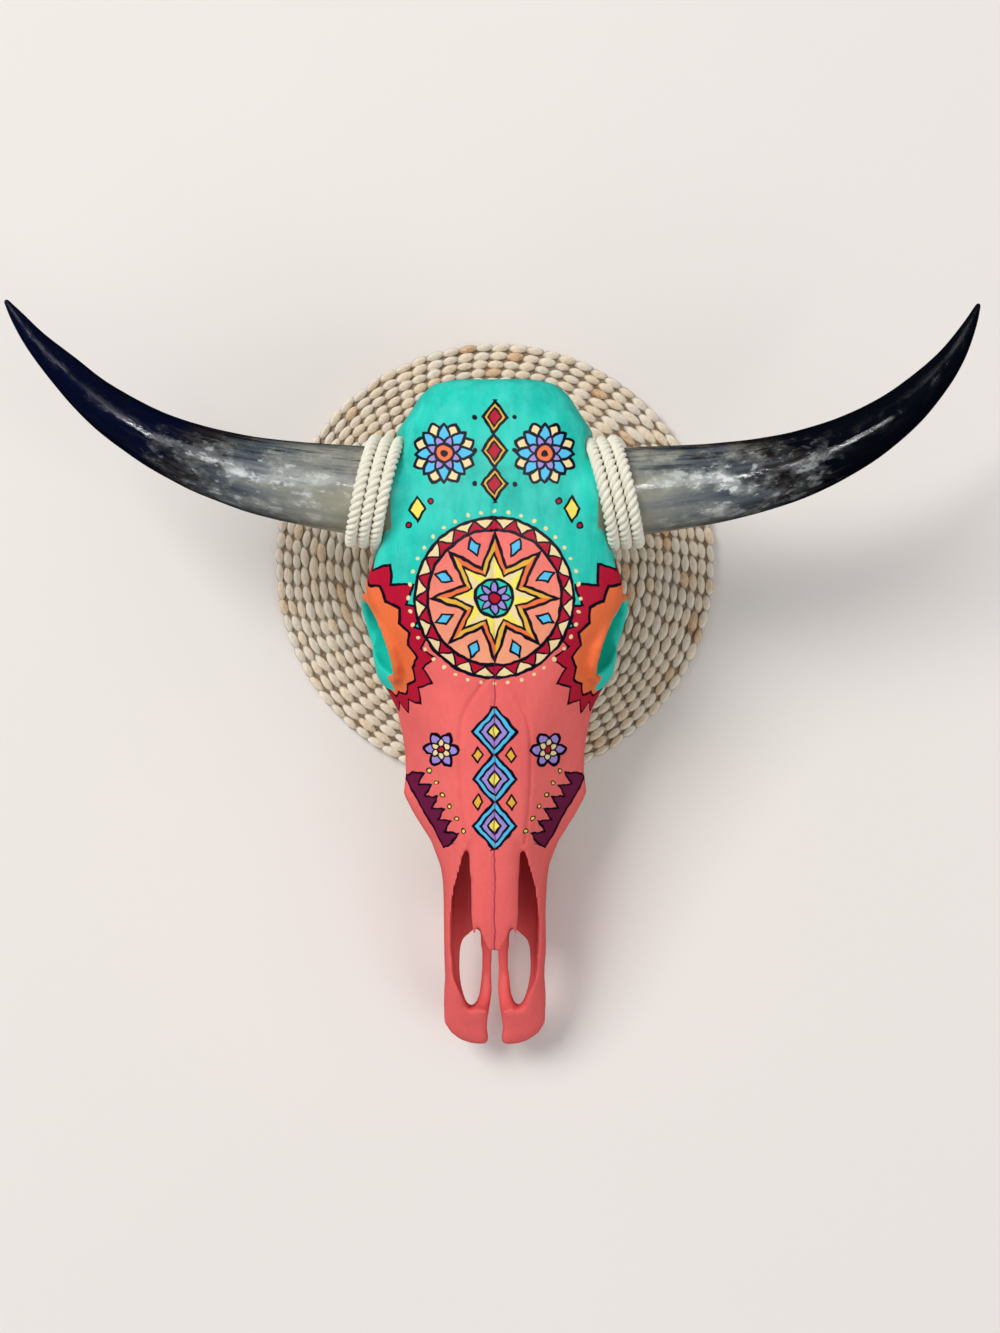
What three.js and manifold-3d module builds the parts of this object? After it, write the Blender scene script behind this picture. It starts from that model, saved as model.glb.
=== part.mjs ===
// A painted steer's skull with its own pair of polished horns. A cotton rope is lashed three times round the foot of
// each horn, and the skull lies on a round woven mat. Millimetres. +Z comes up out of the forehead, +Y runs from
// the nose to the poll, and the origin is the middle of the mat's flat underside.
import * as THREE from "three";
import { mergeVertices } from "three/addons/utils/BufferGeometryUtils.js";
import Module from "manifold-3d";

const wasm = await Module();
wasm.setup();

// Driving sizes
const GAP = 0.3; // between pieces that touch
const MAT_RADIUS = 190;
const MAT_THICKNESS = 12;
const MAT_RINGS = 11; // each carries two courses of stitches
const ROPE_DIAMETER = 9.2;
const ROPE_TURNS = 3;
const ROPE_PITCH = 9.6;
const HORN_SEAT_RADIUS = 35.6; // the horn, and the bony boss that it sits on, under the rope
const HORN_CORE_LENGTH = 62;
const TOOTH_TIP_HEIGHT = MAT_THICKNESS + GAP; // the skull rests on its teeth and on the processes behind them

const PAINT_CORAL = { color: 0xe8625c, roughness: 0.55, metalness: 0 };
const POLISHED_HORN = { color: 0x3b3f45, roughness: 0.18, metalness: 0 };
const COTTON_ROPE = { color: 0xe9e2cc, roughness: 0.9, metalness: 0 };
const WOVEN_HUSK = { color: 0xc9b08c, roughness: 0.85, metalness: 0 };

const v = (x, y, z) => new THREE.Vector3(x, y, z);
const mirrored = (point) => v(-point.x, point.y, point.z);

// Solids and meshes

// A closed mesh's geometry as a solid that can be joined and cut.
function solid(geometry) {
  const bare = geometry.clone();
  bare.deleteAttribute("normal");
  bare.deleteAttribute("uv");
  const merged = mergeVertices(bare, 1e-3);
  return new wasm.Manifold(
    new wasm.Mesh({
      numProp: 3,
      vertProperties: merged.attributes.position.array,
      triVerts: new Uint32Array(merged.index.array),
    }),
  );
}

function geometryOf(shape) {
  const mesh = shape.getMesh();
  const geometry = new THREE.BufferGeometry();
  geometry.setAttribute("position", new THREE.BufferAttribute(mesh.vertProperties, 3));
  geometry.setIndex(new THREE.BufferAttribute(mesh.triVerts, 1));
  geometry.computeVertexNormals();
  return geometry;
}

const joined = (shapes) => shapes.reduce((whole, shape) => whole.add(shape));
const cutBy = (shape, cutters) => cutters.reduce((rest, cutter) => rest.subtract(cutter), shape);

// The same shape on the right and, mirrored, on the left.
const bothSides = (make) => [1, -1].map((side) => make(side));

function piece(name, shape, finish) {
  const mesh = new THREE.Mesh(geometryOf(shape), new THREE.MeshStandardMaterial(finish));
  mesh.name = name;
  return mesh;
}

// A skin through rings of equal point counts, closed by a fan on the first and last ring, with its faces outwards.
function skinned(rings) {
  const count = rings[0].length;
  const points = rings.flat();
  const triangles = [];
  for (let i = 0; i + 1 < rings.length; i++) {
    for (let j = 0; j < count; j++) {
      const a = i * count + j;
      const b = i * count + ((j + 1) % count);
      triangles.push([a, b, b + count], [a, b + count, a + count]);
    }
  }
  for (const end of [0, rings.length - 1]) {
    const middle = rings[end].reduce((sum, point) => sum.add(point), v(0, 0, 0)).divideScalar(count);
    const hub = points.push(middle) - 1;
    for (let j = 0; j < count; j++) {
      const a = end * count + j;
      const b = end * count + ((j + 1) % count);
      triangles.push(end === 0 ? [hub, b, a] : [hub, a, b]);
    }
  }
  const volume = triangles.reduce(
    (sum, [a, b, c]) => sum + points[a].dot(v(0, 0, 0).crossVectors(points[b], points[c])),
    0,
  );
  const facing = volume > 0 ? triangles : triangles.map(([a, b, c]) => [a, c, b]);
  const geometry = new THREE.BufferGeometry().setFromPoints(points);
  geometry.setIndex(facing.flat());
  return solid(geometry);
}

// A skin through mirrored cross-sections. Each section is its place along Y, then [half width, height] points from
// the middle of the roof round one side to the middle of the base. Both ways, the points are joined by smooth curves,
// and no two rings are further apart than the longest step.
function lofted(sections, longest, around = 2) {
  const loops = sections.map(([y, ...half]) => {
    const right = half.map(([x, z]) => v(x, y, z));
    const left = right.slice(1, -1).reverse().map(mirrored);
    const loop = new THREE.CatmullRomCurve3([...right, ...left], true);
    const count = Math.round(around * (right.length + left.length));
    return Array.from({ length: count }, (_, j) => loop.getPoint(j / count));
  });
  const lines = loops[0].map((_, j) => new THREE.CatmullRomCurve3(loops.map((loop) => loop[j])));
  const gaps = sections.length - 1;
  const places = sections.slice(1).flatMap(([y], i) => {
    const steps = Math.ceil((sections[i][0] - y) / longest);
    return Array.from({ length: steps }, (_, k) => (i + (k + 1) / steps) / gaps);
  });
  return skinned([0, ...places].map((t) => lines.map((line) => line.getPoint(t))));
}

// A round bar through points, each [x, y, z, radius], with a smooth line and a smooth change of thickness.
function bar(knots, sides = 8, stepsPerKnot = 2, squash = 1) {
  const line = new THREE.CatmullRomCurve3(knots.map(([x, y, z]) => v(x, y, z)));
  const girth = new THREE.SplineCurve(knots.map(([, , , radius], i) => new THREE.Vector2(i, radius)));
  const steps = stepsPerKnot * (knots.length - 1);
  const rings = Array.from({ length: steps + 1 }, (_, i) => {
    const t = i / steps;
    const ahead = line.getTangent(t);
    const across = v(0, 0, 1).cross(ahead).normalize();
    const up = v(0, 0, 0).crossVectors(ahead, across);
    return Array.from({ length: sides }, (_, j) => {
      const angle = (2 * Math.PI * j) / sides;
      return line
        .getPoint(t)
        .addScaledVector(across, girth.getPoint(t).y * squash * Math.cos(angle))
        .addScaledVector(up, girth.getPoint(t).y * Math.sin(angle));
    });
  });
  return skinned(rings);
}

// An ellipsoid whose three half sizes lie along X, Y and Z, or along the axes that a matrix turns them to.
function ellipsoid([x, y, z], [rx, ry, rz], turn = new THREE.Matrix4(), segments = 16) {
  const geometry = new THREE.SphereGeometry(1, segments, Math.round(segments * 0.6));
  geometry.scale(rx, ry, rz).applyMatrix4(turn).translate(x, y, z);
  return solid(geometry);
}

// A flat outline raised from one height to another.
function raised(shape, low, high, curveSegments = 6) {
  const geometry = new THREE.ExtrudeGeometry(shape, { depth: high - low, bevelEnabled: false, curveSegments });
  return solid(geometry.translate(0, 0, low));
}

const outline = (points) => new THREE.Shape(points.map(([x, y]) => new THREE.Vector2(x, y)));

// The skull's own bone, from the poll to the tip of the nose, as cross-sections
const SKULL_SECTIONS = [
  [138, [0, 155], [12, 156], [23, 155], [32, 151], [36, 146], [33, 140], [24, 136], [12, 134], [0, 134]],
  [134, [0, 166], [17, 167], [33, 165], [44, 159], [49, 150], [47, 138], [37, 126], [20, 119], [0, 118]],
  [125, [0, 175], [21, 176], [40, 174], [53, 166], [59, 152], [59, 132], [49, 108], [27, 94], [0, 92]],
  [113, [0, 180], [23, 181], [44, 178], [60, 169], [66, 151], [69, 120], [60, 84], [38, 62], [0, 60]],
  [98, [0, 182], [27, 183], [54, 180], [71, 170], [76, 150], [80, 115], [72, 75], [44, 42], [0, 38]],
  [75, [0, 183], [28, 184], [56, 181], [74, 172], [79, 150], [80, 115], [72, 76], [40, 40], [0, 34]],
  [45, [0, 183], [30, 184], [59, 181], [78, 172], [82, 152], [72, 122], [60, 82], [37, 44], [0, 38]],
  [20, [0, 182], [32, 183], [62, 179], [84, 168], [86, 154], [66, 128], [54, 88], [34, 52], [0, 46]],
  [2, [0, 181], [34, 182], [67, 177], [90, 164], [91, 151], [64, 130], [50, 92], [32, 58], [0, 52]],
  [-12, [0, 179], [36, 180], [71, 174], [96, 160], [98, 147], [66, 128], [49, 94], [30, 62], [0, 56]],
  [-24, [0, 178], [37, 179], [75, 171], [101, 155], [102, 140], [97, 120], [80, 92], [42, 62], [0, 55]],
  [-38, [0, 176], [38, 177], [76, 169], [98, 154], [101, 136], [100, 108], [88, 86], [48, 62], [0, 54]],
  [-60, [0, 173], [36, 174], [68, 167], [86, 154], [95, 132], [101, 104], [92, 84], [50, 60], [0, 52]],
  [-82, [0, 168], [33, 167], [58, 160], [74, 147], [88, 122], [101, 97], [88, 76], [48, 55], [0, 50]],
  [-98, [0, 164], [30, 163], [53, 154], [72, 137], [84, 116], [98, 93], [82, 70], [50, 46], [0, 48]],
  [-108, [0, 162], [29, 160], [52, 150], [70, 132], [81, 112], [90, 90], [75, 64], [51, 36], [0, 47]],
  [-125, [0, 158], [27, 156], [48, 145], [66, 127], [76, 106], [81, 86], [67, 58], [50, 29], [0, 45]],
  [-150, [0, 151], [24, 149], [43, 136], [60, 118], [72, 98], [76, 80], [62, 54], [49, 27], [0, 44]],
  [-178, [0, 144], [22, 142], [38, 129], [54, 110], [68, 90], [75, 74], [60, 51], [48, 27], [0, 44]],
  [-195, [0, 139], [22, 137], [36, 125], [51, 106], [66, 86], [78, 71], [59, 50], [47, 27], [0, 44]],
  [-212, [0, 134], [21, 132], [34, 120], [47, 102], [59, 86], [69, 70], [55, 49], [45, 28], [0, 43]],
  [-234, [0, 128], [21, 126], [31, 115], [40, 100], [48, 85], [54, 69], [48, 50], [41, 31], [0, 42]],
  [-256, [0, 122], [20, 120], [30, 110], [38, 97], [43, 83], [45, 67], [42, 50], [35, 37], [0, 42]],
  [-285, [0, 113], [20, 111], [29, 103], [36, 92], [41, 79], [43, 65], [39, 50], [30, 40], [0, 41]],
  [-322, [0, 97], [18, 96], [28, 91], [36, 82], [41, 71], [43, 59], [39, 47], [30, 38], [0, 38]],
  [-352, [0, 80], [16, 79], [27, 76], [35, 70], [40, 61], [42.5, 51], [39, 42], [28, 35], [0, 35]],
  [-376, [0, 62], [16, 62], [28, 60], [37, 56], [42, 50], [44.5, 43], [41, 36], [28, 31], [0, 31]],
  [-392, [0, 50], [15, 50], [27, 49], [37, 46], [42, 42], [43.5, 37], [41, 32], [27, 28], [0, 28]],
  [-402, [0, 45], [13, 45], [24, 44], [32, 41], [36, 38], [37, 34], [34, 30], [23, 27], [0, 27]],
  [-408, [0, 41], [10, 41], [18, 40], [25, 38], [28, 36], [28, 33], [25, 30], [16, 28], [0, 28]],
  [-411, [0, 37], [7, 37], [12, 37], [16, 36], [18, 34.5], [18, 33], [15, 31], [9, 30], [0, 30]],
];

// The open nose. It breaks through the roof in front of the cheeks, and the nasal bones are laid over it again.
const NOSE_CAVITY_SECTIONS = [
  [-165, [0, 128], [4, 127.5], [8, 126], [11, 119], [12, 112], [9, 84], [0, 78]],
  [-205, [0, 122], [8, 120], [16, 116], [22, 107], [25, 96], [20, 64], [0, 58]],
  [-222, [0, 121], [12, 119], [18, 116], [24, 107], [29, 92], [25, 60], [0, 55]],
  [-231, [0, 142], [19, 142], [21.6, 124], [27, 109], [33, 88], [29, 58], [0, 53]],
  [-242, [0, 150], [23, 150], [24.2, 121], [28.5, 107], [34, 88], [30, 57], [0, 52]],
  [-256, [0, 150], [26.5, 150], [27.4, 114], [30, 104], [34.5, 88], [30, 54], [0, 49]],
  [-270, [0, 150], [30.6, 150], [31.6, 106], [33, 98], [35, 86], [30, 52], [0, 48]],
  [-290, [0, 150], [34.4, 150], [35, 96], [35.6, 89], [35.6, 80], [31, 49], [0, 45]],
  [-322, [0, 140], [35.8, 140], [36.4, 88], [36.4, 80], [36, 72], [32, 47], [0, 43]],
  [-350, [0, 130], [32.4, 130], [33.8, 76], [34, 66], [33.5, 58], [29, 43], [0, 40]],
  [-366, [0, 110], [23, 106], [26, 72], [27, 62], [26, 54], [21, 46], [0, 44]],
  [-377, [0, 84], [8, 80], [11, 70], [12, 62], [11.5, 56], [9, 51], [0, 50]],
];

// The pair of nasal bones, a thin arched roof that hangs free in front of the cheeks
const NASAL_SECTIONS = [
  [-128, [0, 156.5], [10, 156], [20, 152], [26, 147], [22, 143], [10, 147], [0, 148]],
  [-170, [0, 146.8], [10, 146], [18, 142.5], [23, 138], [20, 134], [10, 138], [0, 139]],
  [-205, [0, 137.6], [10, 136.8], [17, 133], [22, 128], [19, 124.5], [10, 129], [0, 130]],
  [-236, [0, 129.2], [10, 128.4], [17, 124.5], [22, 118], [19, 114.5], [10, 121], [0, 122]],
  [-270, [0, 119.6], [10, 118.8], [18, 114.5], [23, 107], [20, 103.5], [10, 111.5], [0, 113]],
  [-300, [0, 110.6], [10, 109.8], [18, 105.5], [23.5, 98.5], [20, 95.5], [10, 103], [0, 104.5]],
  [-324, [0, 103], [10, 102], [18, 98], [23.5, 92.5], [20, 90], [10, 96.5], [0, 98]],
];

// What is cut from the nasal bones' free end to leave its four points, seen from above on the right
const NASAL_END = [
  [0, -317], [1.2, -321.5], [3.4, -322.8], [5.8, -320], [9.4, -312], [11.6, -304.5], [13, -296.5], [15, -303],
  [17.2, -309.5], [18.4, -300], [19.8, -270], [21.2, -240], [30, -234], [30, -340], [0, -340],
];

// Seen from above: the long hole in each half of the hard palate, and the cleft between the two halves
const PALATE_HOLE = [
  [12.4, -318], [14.4, -311], [18.5, -313.5], [21.6, -317], [27.4, -319.5], [29.6, -329],
  [29.9, -345], [28.4, -360], [24.6, -373], [20.6, -379], [17, -376.5], [13.6, -368], [12, -352], [11.6, -334],
];
const NOSE_CLEFT = [
  [0, -312], [1.8, -318], [2.2, -345], [2.5, -366], [4.2, -377], [6.6, -389], [7, -398], [5.2, -405], [6.4, -415],
  [0, -418],
];

// The eye socket: its rim's middle, the way it looks, and the rim's half sizes
const EYE = { middle: v(91.5, -66.5, 121), halfLength: 35.5, halfHeight: 32.5, rim: 4.6, depth: 50 };
const EYE_UP = v(-14.5, 0, 62).normalize();
const EYE_FORWARD = v(-23, -65, 0).normalize();
const EYE_OUT = v(0, 0, 0).crossVectors(EYE_FORWARD, EYE_UP).negate().normalize();

function eyeTurn(side) {
  const axes = [EYE_OUT, EYE_FORWARD, EYE_UP].map((axis) => (side > 0 ? axis.clone() : mirrored(axis)));
  return new THREE.Matrix4().makeBasis(...axes);
}

// A turned or mirrored ellipsoid can come out inside out, so its basis keeps a positive determinant.
function eyeSocket(side) {
  const deep = EYE.middle.clone().addScaledVector(EYE_OUT, -14);
  const middle = side > 0 ? deep : mirrored(deep);
  const turn = eyeTurn(side);
  if (turn.determinant() < 0) turn.scale(v(1, -1, 1));
  return ellipsoid(middle.toArray(), [EYE.depth - 14, EYE.halfLength - 1.5, EYE.halfHeight - 1.5], turn, 12);
}

// The raised rim round the socket, as a chain of short thick links that meet in a ring.
function eyeRim(side) {
  const count = 14;
  const at = (i) => {
    const angle = (2 * Math.PI * i) / count;
    const point = EYE.middle
      .clone()
      .addScaledVector(EYE_FORWARD, EYE.halfLength * Math.cos(angle))
      .addScaledVector(EYE_UP, EYE.halfHeight * Math.sin(angle));
    return side > 0 ? point : mirrored(point);
  };
  const loop = new THREE.CatmullRomCurve3(Array.from({ length: count }, (_, i) => at(i)), true);
  const middle = side > 0 ? EYE.middle : mirrored(EYE.middle);
  const rings = Array.from({ length: count }, (_, i) => {
    const outwards = loop.getPoint(i / count).sub(middle).normalize();
    const tangent = loop.getTangent(i / count);
    const sideways = v(0, 0, 0).crossVectors(tangent, outwards).normalize();
    return Array.from({ length: 5 }, (_, j) => {
      const angle = (2 * Math.PI * j) / 5;
      return loop
        .getPoint(i / count)
        .addScaledVector(outwards, EYE.rim * Math.cos(angle))
        .addScaledVector(sideways, EYE.rim * Math.sin(angle));
    });
  });
  const half = count / 2;
  const first = skinned(rings.slice(0, half + 1));
  const second = skinned([...rings.slice(half), rings[0]]);
  return first.add(second);
}

// The cheekbone's arch, behind the eye and outside the hollow of the temple
const arch = (side) =>
  bar(
    [
      [98, -50, 97, 13],
      [98, -24, 90, 11],
      [93, 4, 87, 9.5],
      [86, 30, 91, 10.5],
      [72, 54, 94, 15],
    ].map(([x, ...rest]) => [side * x, ...rest]),
    7,
    1,
    0.65,
  );

// The hollow of the temple, under the edge of the forehead
const temple = (side) => ellipsoid([side * 97, 13, 114], [33, 31, 30], new THREE.Matrix4(), 12);

// The line that a horn follows from the skull outwards, on the right, with its radius
const HORN_RIGHT = [
  [88, 47.5, 148, 35.4],
  [113, 49.8, 148, 35.2],
  [160, 54, 149, 32.6],
  [202, 60.5, 152, 29.6],
  [242, 70.5, 156, 26.2],
  [278, 85.5, 161, 22.6],
  [309, 104, 167, 18.8],
  [335, 126.5, 173, 14.6],
  [355, 150.5, 179, 10.1],
  [367.5, 173.5, 184, 5.6],
  [374.8, 191.5, 187, 1.6],
];
const HORN_LEFT = [
  [-88, 48.5, 148, 35.5],
  [-116, 51.1, 148, 35.2],
  [-165, 57.5, 149, 32],
  [-208, 67, 152, 28.4],
  [-246, 80, 156, 24.6],
  [-279, 96.5, 161, 20.8],
  [-310, 117.5, 167, 17.2],
  [-336, 142, 173, 13.2],
  [-356, 163, 179, 9],
  [-369.5, 181, 184, 5.2],
  [-378.3, 194.2, 187, 1.6],
];
const hornKnots = (side) => (side > 0 ? HORN_RIGHT : HORN_LEFT);

// The direction in which each horn leaves the skull, level, and leaning towards the poll
const HORN_LEAN = 0.09;
const hornAxis = (side) => v(side, HORN_LEAN, 0).normalize();

// A point in the round seat of a horn: how far out along its axis, and a place on a circle about that axis, from the
// side towards the poll. A circle that leans has that side closer to the middle of the skull.
function aroundHorn(side, out, radius, angle, lean = 0) {
  const axis = hornAxis(side);
  const across = v(0, 0, side).cross(axis).normalize();
  const [x, y, z] = hornKnots(side)[0];
  return v(x, y, z)
    .addScaledVector(axis, out - lean * radius * Math.cos(angle))
    .addScaledVector(across, radius * Math.cos(angle))
    .addScaledVector(v(0, 0, 1), radius * Math.sin(angle));
}

// A straight stub about a horn's axis, with a radius at each of its places along that axis.
function hornStub(side, stations, sides = 18, lean = 0) {
  return skinned(
    stations.map(([out, radius]) =>
      Array.from({ length: sides }, (_, j) => aroundHorn(side, out, radius, (2 * Math.PI * j) / sides, lean)),
    ),
  );
}

const ROPE_LEAN = 0.1;
const ROPE_RADIUS_AT = HORN_SEAT_RADIUS + GAP + ROPE_DIAMETER / 2 + 0.4; // from the horn's axis to the rope's middle
const HORN_START = 8; // along the horn's axis, under the rope's second turn
const ROPE_START = -8.3; // the rope's first turn
// The room for the rope: its inner wall rises with the rope's first turn.
function seatCutter(side) {
  const sides = 18;
  const ring = (out, rise, radius) =>
    Array.from({ length: sides }, (_, j) => {
      const angle = (2 * Math.PI * j) / sides - Math.PI / 2;
      return aroundHorn(side, out + (rise * j) / sides, radius, angle, ROPE_LEAN);
    });
  const wall = ROPE_START - ROPE_DIAMETER / 2 - GAP;
  return skinned([ring(wall, ROPE_PITCH, 30), ring(wall, ROPE_PITCH, 46.5), ring(60, 0, 49)]);
}

// The brow flares out to the horn, up to the rope's first turn.
const hornFlare = (side) => hornStub(side, [[-56, 22], [-24, 32.5], [-4, 38.5]]);
const hornBoss = (side) => hornStub(side, [[-40, 28], [-10, 34.5], [HORN_START - GAP, 34.5]]);
const hornCore = (side) => hornStub(side, [[-40, 20], [10, 24], [HORN_START + HORN_CORE_LENGTH, 12]], 10);
const coreSocket = (side) =>
  hornStub(side, [[-20, 23], [10, 24 + 2 * GAP], [HORN_START + HORN_CORE_LENGTH + 1, 12 + 2 * GAP]], 10);

// One row of six cheek teeth, seen from above, as lobes along each side of the row
const TOOTH_ENDS = [-112, -139, -167, -192, -210, -228, -245]; // three molars behind, three premolars in front
function toothRow(side) {
  const inner = (y) => 35.5 + 0.02 * (y + 178);
  const outer = (y) => 59 + 0.055 * (y + 150) - 0.0009 * (y + 150) ** 2;
  const lobes = TOOTH_ENDS.slice(1).flatMap((front, i) => {
    const back = TOOTH_ENDS[i];
    const parts = i < 3 ? 2 : 1; // a molar has two lobes and a premolar has one
    return Array.from({ length: parts }, (_, k) => {
      const length = (back - front) / parts;
      return { from: back - k * length, to: back - (k + 1) * length };
    });
  });
  const cheek = lobes.flatMap(({ from, to }) => [
    [outer(from) - 2.4, from],
    [outer(from), from - 3],
    [outer(to), to + 3],
  ]);
  const tongue = TOOTH_ENDS.toReversed().map((y) => [inner(y), y]);
  const points = [...cheek, ...tongue].map(([x, y]) => [side * x, y]);
  return raised(outline(points), TOOTH_TIP_HEIGHT, 42);
}

// What the back of the skull stands on and turns by, beside the hole for the spine
const SPINE_HOLE = { height: 66, radius: 17 };
const condyle = (side) => ellipsoid([side * 25, 105, 60], [18, 24, 25], new THREE.Matrix4(), 10);
const footProcess = (side) =>
  bar(
    [
      [60, 80, 76, 26],
      [58, 84, 50, 20],
      [54, 88, 30, 14],
      [50, 92, TOOTH_TIP_HEIGHT - 4, 9],
    ].map(([x, ...rest]) => [side * x, ...rest]),
    8,
    1,
    0.6,
  );
const spineHole = () =>
  bar(
    [
      [0, 150, SPINE_HOLE.height, SPINE_HOLE.radius + 3],
      [0, 112, SPINE_HOLE.height, SPINE_HOLE.radius],
      [0, 64, SPINE_HOLE.height + 8, SPINE_HOLE.radius - 3],
    ],
    12,
    1,
  );
// Two shallow hollows where the neck was fixed, either side of the middle ridge
const neckHollow = (side) => ellipsoid([side * 30, 137, 108], [24, 15, 22], new THREE.Matrix4(), 10);

// The back of the palate: the throat's opening, with a thin wing of bone on each side of it
const throat = () => ellipsoid([0, -38, 44], [19, 52, 26], new THREE.Matrix4(), 12);
const palateHollow = () => ellipsoid([0, -180, 34], [34, 96, 17], new THREE.Matrix4(), 12);
const throatWing = (side) =>
  bar(
    [
      [27, -88, 52, 8],
      [26, -55, 44, 11],
      [25, -20, 45, 11],
      [20, 10, 52, 8],
    ].map(([x, ...rest]) => [side * x, ...rest]),
    6,
    1,
    0.6,
  );
const earBulla = (side) => ellipsoid([side * 46, 58, 46], [13, 21, 15], new THREE.Matrix4(), 10);

// The small natural hole in front of the cheek's ridge
const cheekHole = (side) => ellipsoid([side * 49, -226, 66], [9, 7, 5], new THREE.Matrix4(), 8);

function skull() {
  const brow = joined([lofted(SKULL_SECTIONS, 26, 1.75), ...bothSides(hornFlare)]);
  const face = cutBy(brow, [
    lofted(NOSE_CAVITY_SECTIONS, 60, 1.5),
    ...bothSides(temple),
    throat(),
    palateHollow(),
    ...bothSides(neckHollow),
    spineHole(),
  ]);
  const nasal = cutBy(
    lofted(NASAL_SECTIONS, 60, 1),
    bothSides((side) => raised(outline(NASAL_END.map(([x, y]) => [side * x, y])), 60, 140)),
  );
  const shell = cutBy(joined([face, nasal, ...bothSides(eyeRim), ...bothSides(arch)]), bothSides(seatCutter));
  const whole = joined([
    shell,
    ...bothSides(hornBoss),
    ...bothSides(hornCore),
    ...bothSides(toothRow),
    ...bothSides(condyle),
    ...bothSides(footProcess),
    ...bothSides(throatWing),
    ...bothSides(earBulla),
  ]);
  const cleft = outline([...NOSE_CLEFT, ...NOSE_CLEFT.slice(1, -1).toReversed().map(([x, y]) => [-x, y])]);
  return cutBy(whole, [
    ...bothSides(eyeSocket),
    ...bothSides((side) => raised(outline(PALATE_HOLE.map(([x, y]) => [side * x, y])), 0, 78)),
    raised(cleft, 0, 78),
    ...bothSides(cheekHole),
    raised(outline([[-99, -299], [99, -299], [99, 199], [-99, 199]]), 0, TOOTH_TIP_HEIGHT),
  ]);
}

// A horn: a smooth curved cone, hollow at its foot where it sits over the bony core.
function horn(side) {
  const sheath = bar(hornKnots(side), 12, 2);
  const foot = hornStub(side, [[-60, 60], [HORN_START, 60]]);
  return cutBy(sheath, [foot, coreSocket(side)]);
}

// The rope's line: three turns about the horn's axis that begin and end on the side towards the mat.
class LashingCurve extends THREE.Curve {
  constructor(side) {
    super();
    this.side = side;
  }
  getPoint(t) {
    const angle = 2 * Math.PI * ROPE_TURNS * t - Math.PI / 2;
    return aroundHorn(this.side, ROPE_START + ROPE_TURNS * ROPE_PITCH * t, ROPE_RADIUS_AT, angle, ROPE_LEAN);
  }
}

function ropeLashing(side) {
  const section = new THREE.Shape().absarc(0, 0, ROPE_DIAMETER / 2, 0, 2 * Math.PI);
  const geometry = new THREE.ExtrudeGeometry(section, {
    steps: 12 * ROPE_TURNS,
    curveSegments: 3,
    extrudePath: new LashingCurve(side),
  });
  return solid(geometry);
}

// The mat: a flat round of concentric ribs.
function mat() {
  const pitch = MAT_RADIUS / MAT_RINGS;
  const profile = [new THREE.Vector2(0, 0), new THREE.Vector2(MAT_RADIUS - 3, 0)];
  for (let ring = MAT_RINGS; ring > 0; ring--) {
    profile.push(new THREE.Vector2(ring * pitch - (ring === MAT_RINGS ? 0 : 0.5), MAT_THICKNESS * 0.62));
    profile.push(new THREE.Vector2((ring - 0.5) * pitch, MAT_THICKNESS));
  }
  profile.push(new THREE.Vector2(0, MAT_THICKNESS * 0.7));
  return solid(new THREE.LatheGeometry(profile, 24).rotateX(Math.PI / 2));
}

const paintedCowSkull = new THREE.Group();
paintedCowSkull.add(
  piece("skull", skull(), PAINT_CORAL),
  piece("horn_right", horn(1), POLISHED_HORN),
  piece("horn_left", horn(-1), POLISHED_HORN),
  piece("rope_lashing_right", ropeLashing(1), COTTON_ROPE),
  piece("rope_lashing_left", ropeLashing(-1), COTTON_ROPE),
  piece("woven_mat", mat(), WOVEN_HUSK),
);

export default paintedCowSkull;
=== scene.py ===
"""A painted steer's skull with polished horns, lashed with cotton rope and laid on a round woven mat."""

import logging
import math
from collections.abc import Callable, Iterator
from contextlib import contextmanager
from dataclasses import dataclass, field
from enum import Enum

import bpy
import numpy as np
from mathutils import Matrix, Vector, noise
from mathutils.bvhtree import BVHTree


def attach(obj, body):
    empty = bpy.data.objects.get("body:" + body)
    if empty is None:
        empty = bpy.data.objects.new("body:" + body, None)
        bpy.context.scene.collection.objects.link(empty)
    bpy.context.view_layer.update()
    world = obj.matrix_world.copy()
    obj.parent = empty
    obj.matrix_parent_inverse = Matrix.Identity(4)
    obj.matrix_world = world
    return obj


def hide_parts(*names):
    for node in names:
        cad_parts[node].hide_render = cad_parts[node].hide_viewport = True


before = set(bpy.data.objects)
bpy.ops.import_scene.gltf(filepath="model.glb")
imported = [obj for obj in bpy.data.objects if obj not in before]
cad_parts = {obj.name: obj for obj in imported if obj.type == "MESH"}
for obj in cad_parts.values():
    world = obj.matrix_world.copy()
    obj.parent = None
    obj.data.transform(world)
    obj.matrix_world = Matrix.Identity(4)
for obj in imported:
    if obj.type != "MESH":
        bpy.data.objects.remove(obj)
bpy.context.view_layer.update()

log = logging.getLogger("painted_skull")

MM = 0.001
HORN_LEAN = 0.09  # how far a horn leans towards the poll for each step outwards
Point = tuple[float, float, float]
Colour = tuple[float, float, float, float]


class Side(Enum):
    """The two sides of the animal, with the sign of X on each."""

    RIGHT = 1
    LEFT = -1

    @property
    def word(self) -> str:
        """The side's name in lower case."""
        return self.name.lower()


def tint(red: float, green: float, blue: float) -> Colour:
    """Turn a colour as the eye sees it on a screen into a linear one.

    Args:
        red, green, blue: the colour, each from 0 to 1.

    Returns:
        The linear colour with full alpha.
    """
    linear = [((c + 0.055) / 1.055) ** 2.4 if c > 0.04045 else c / 12.92 for c in (red, green, blue)]
    return (*linear, 1.0)


# Shader boards


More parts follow.
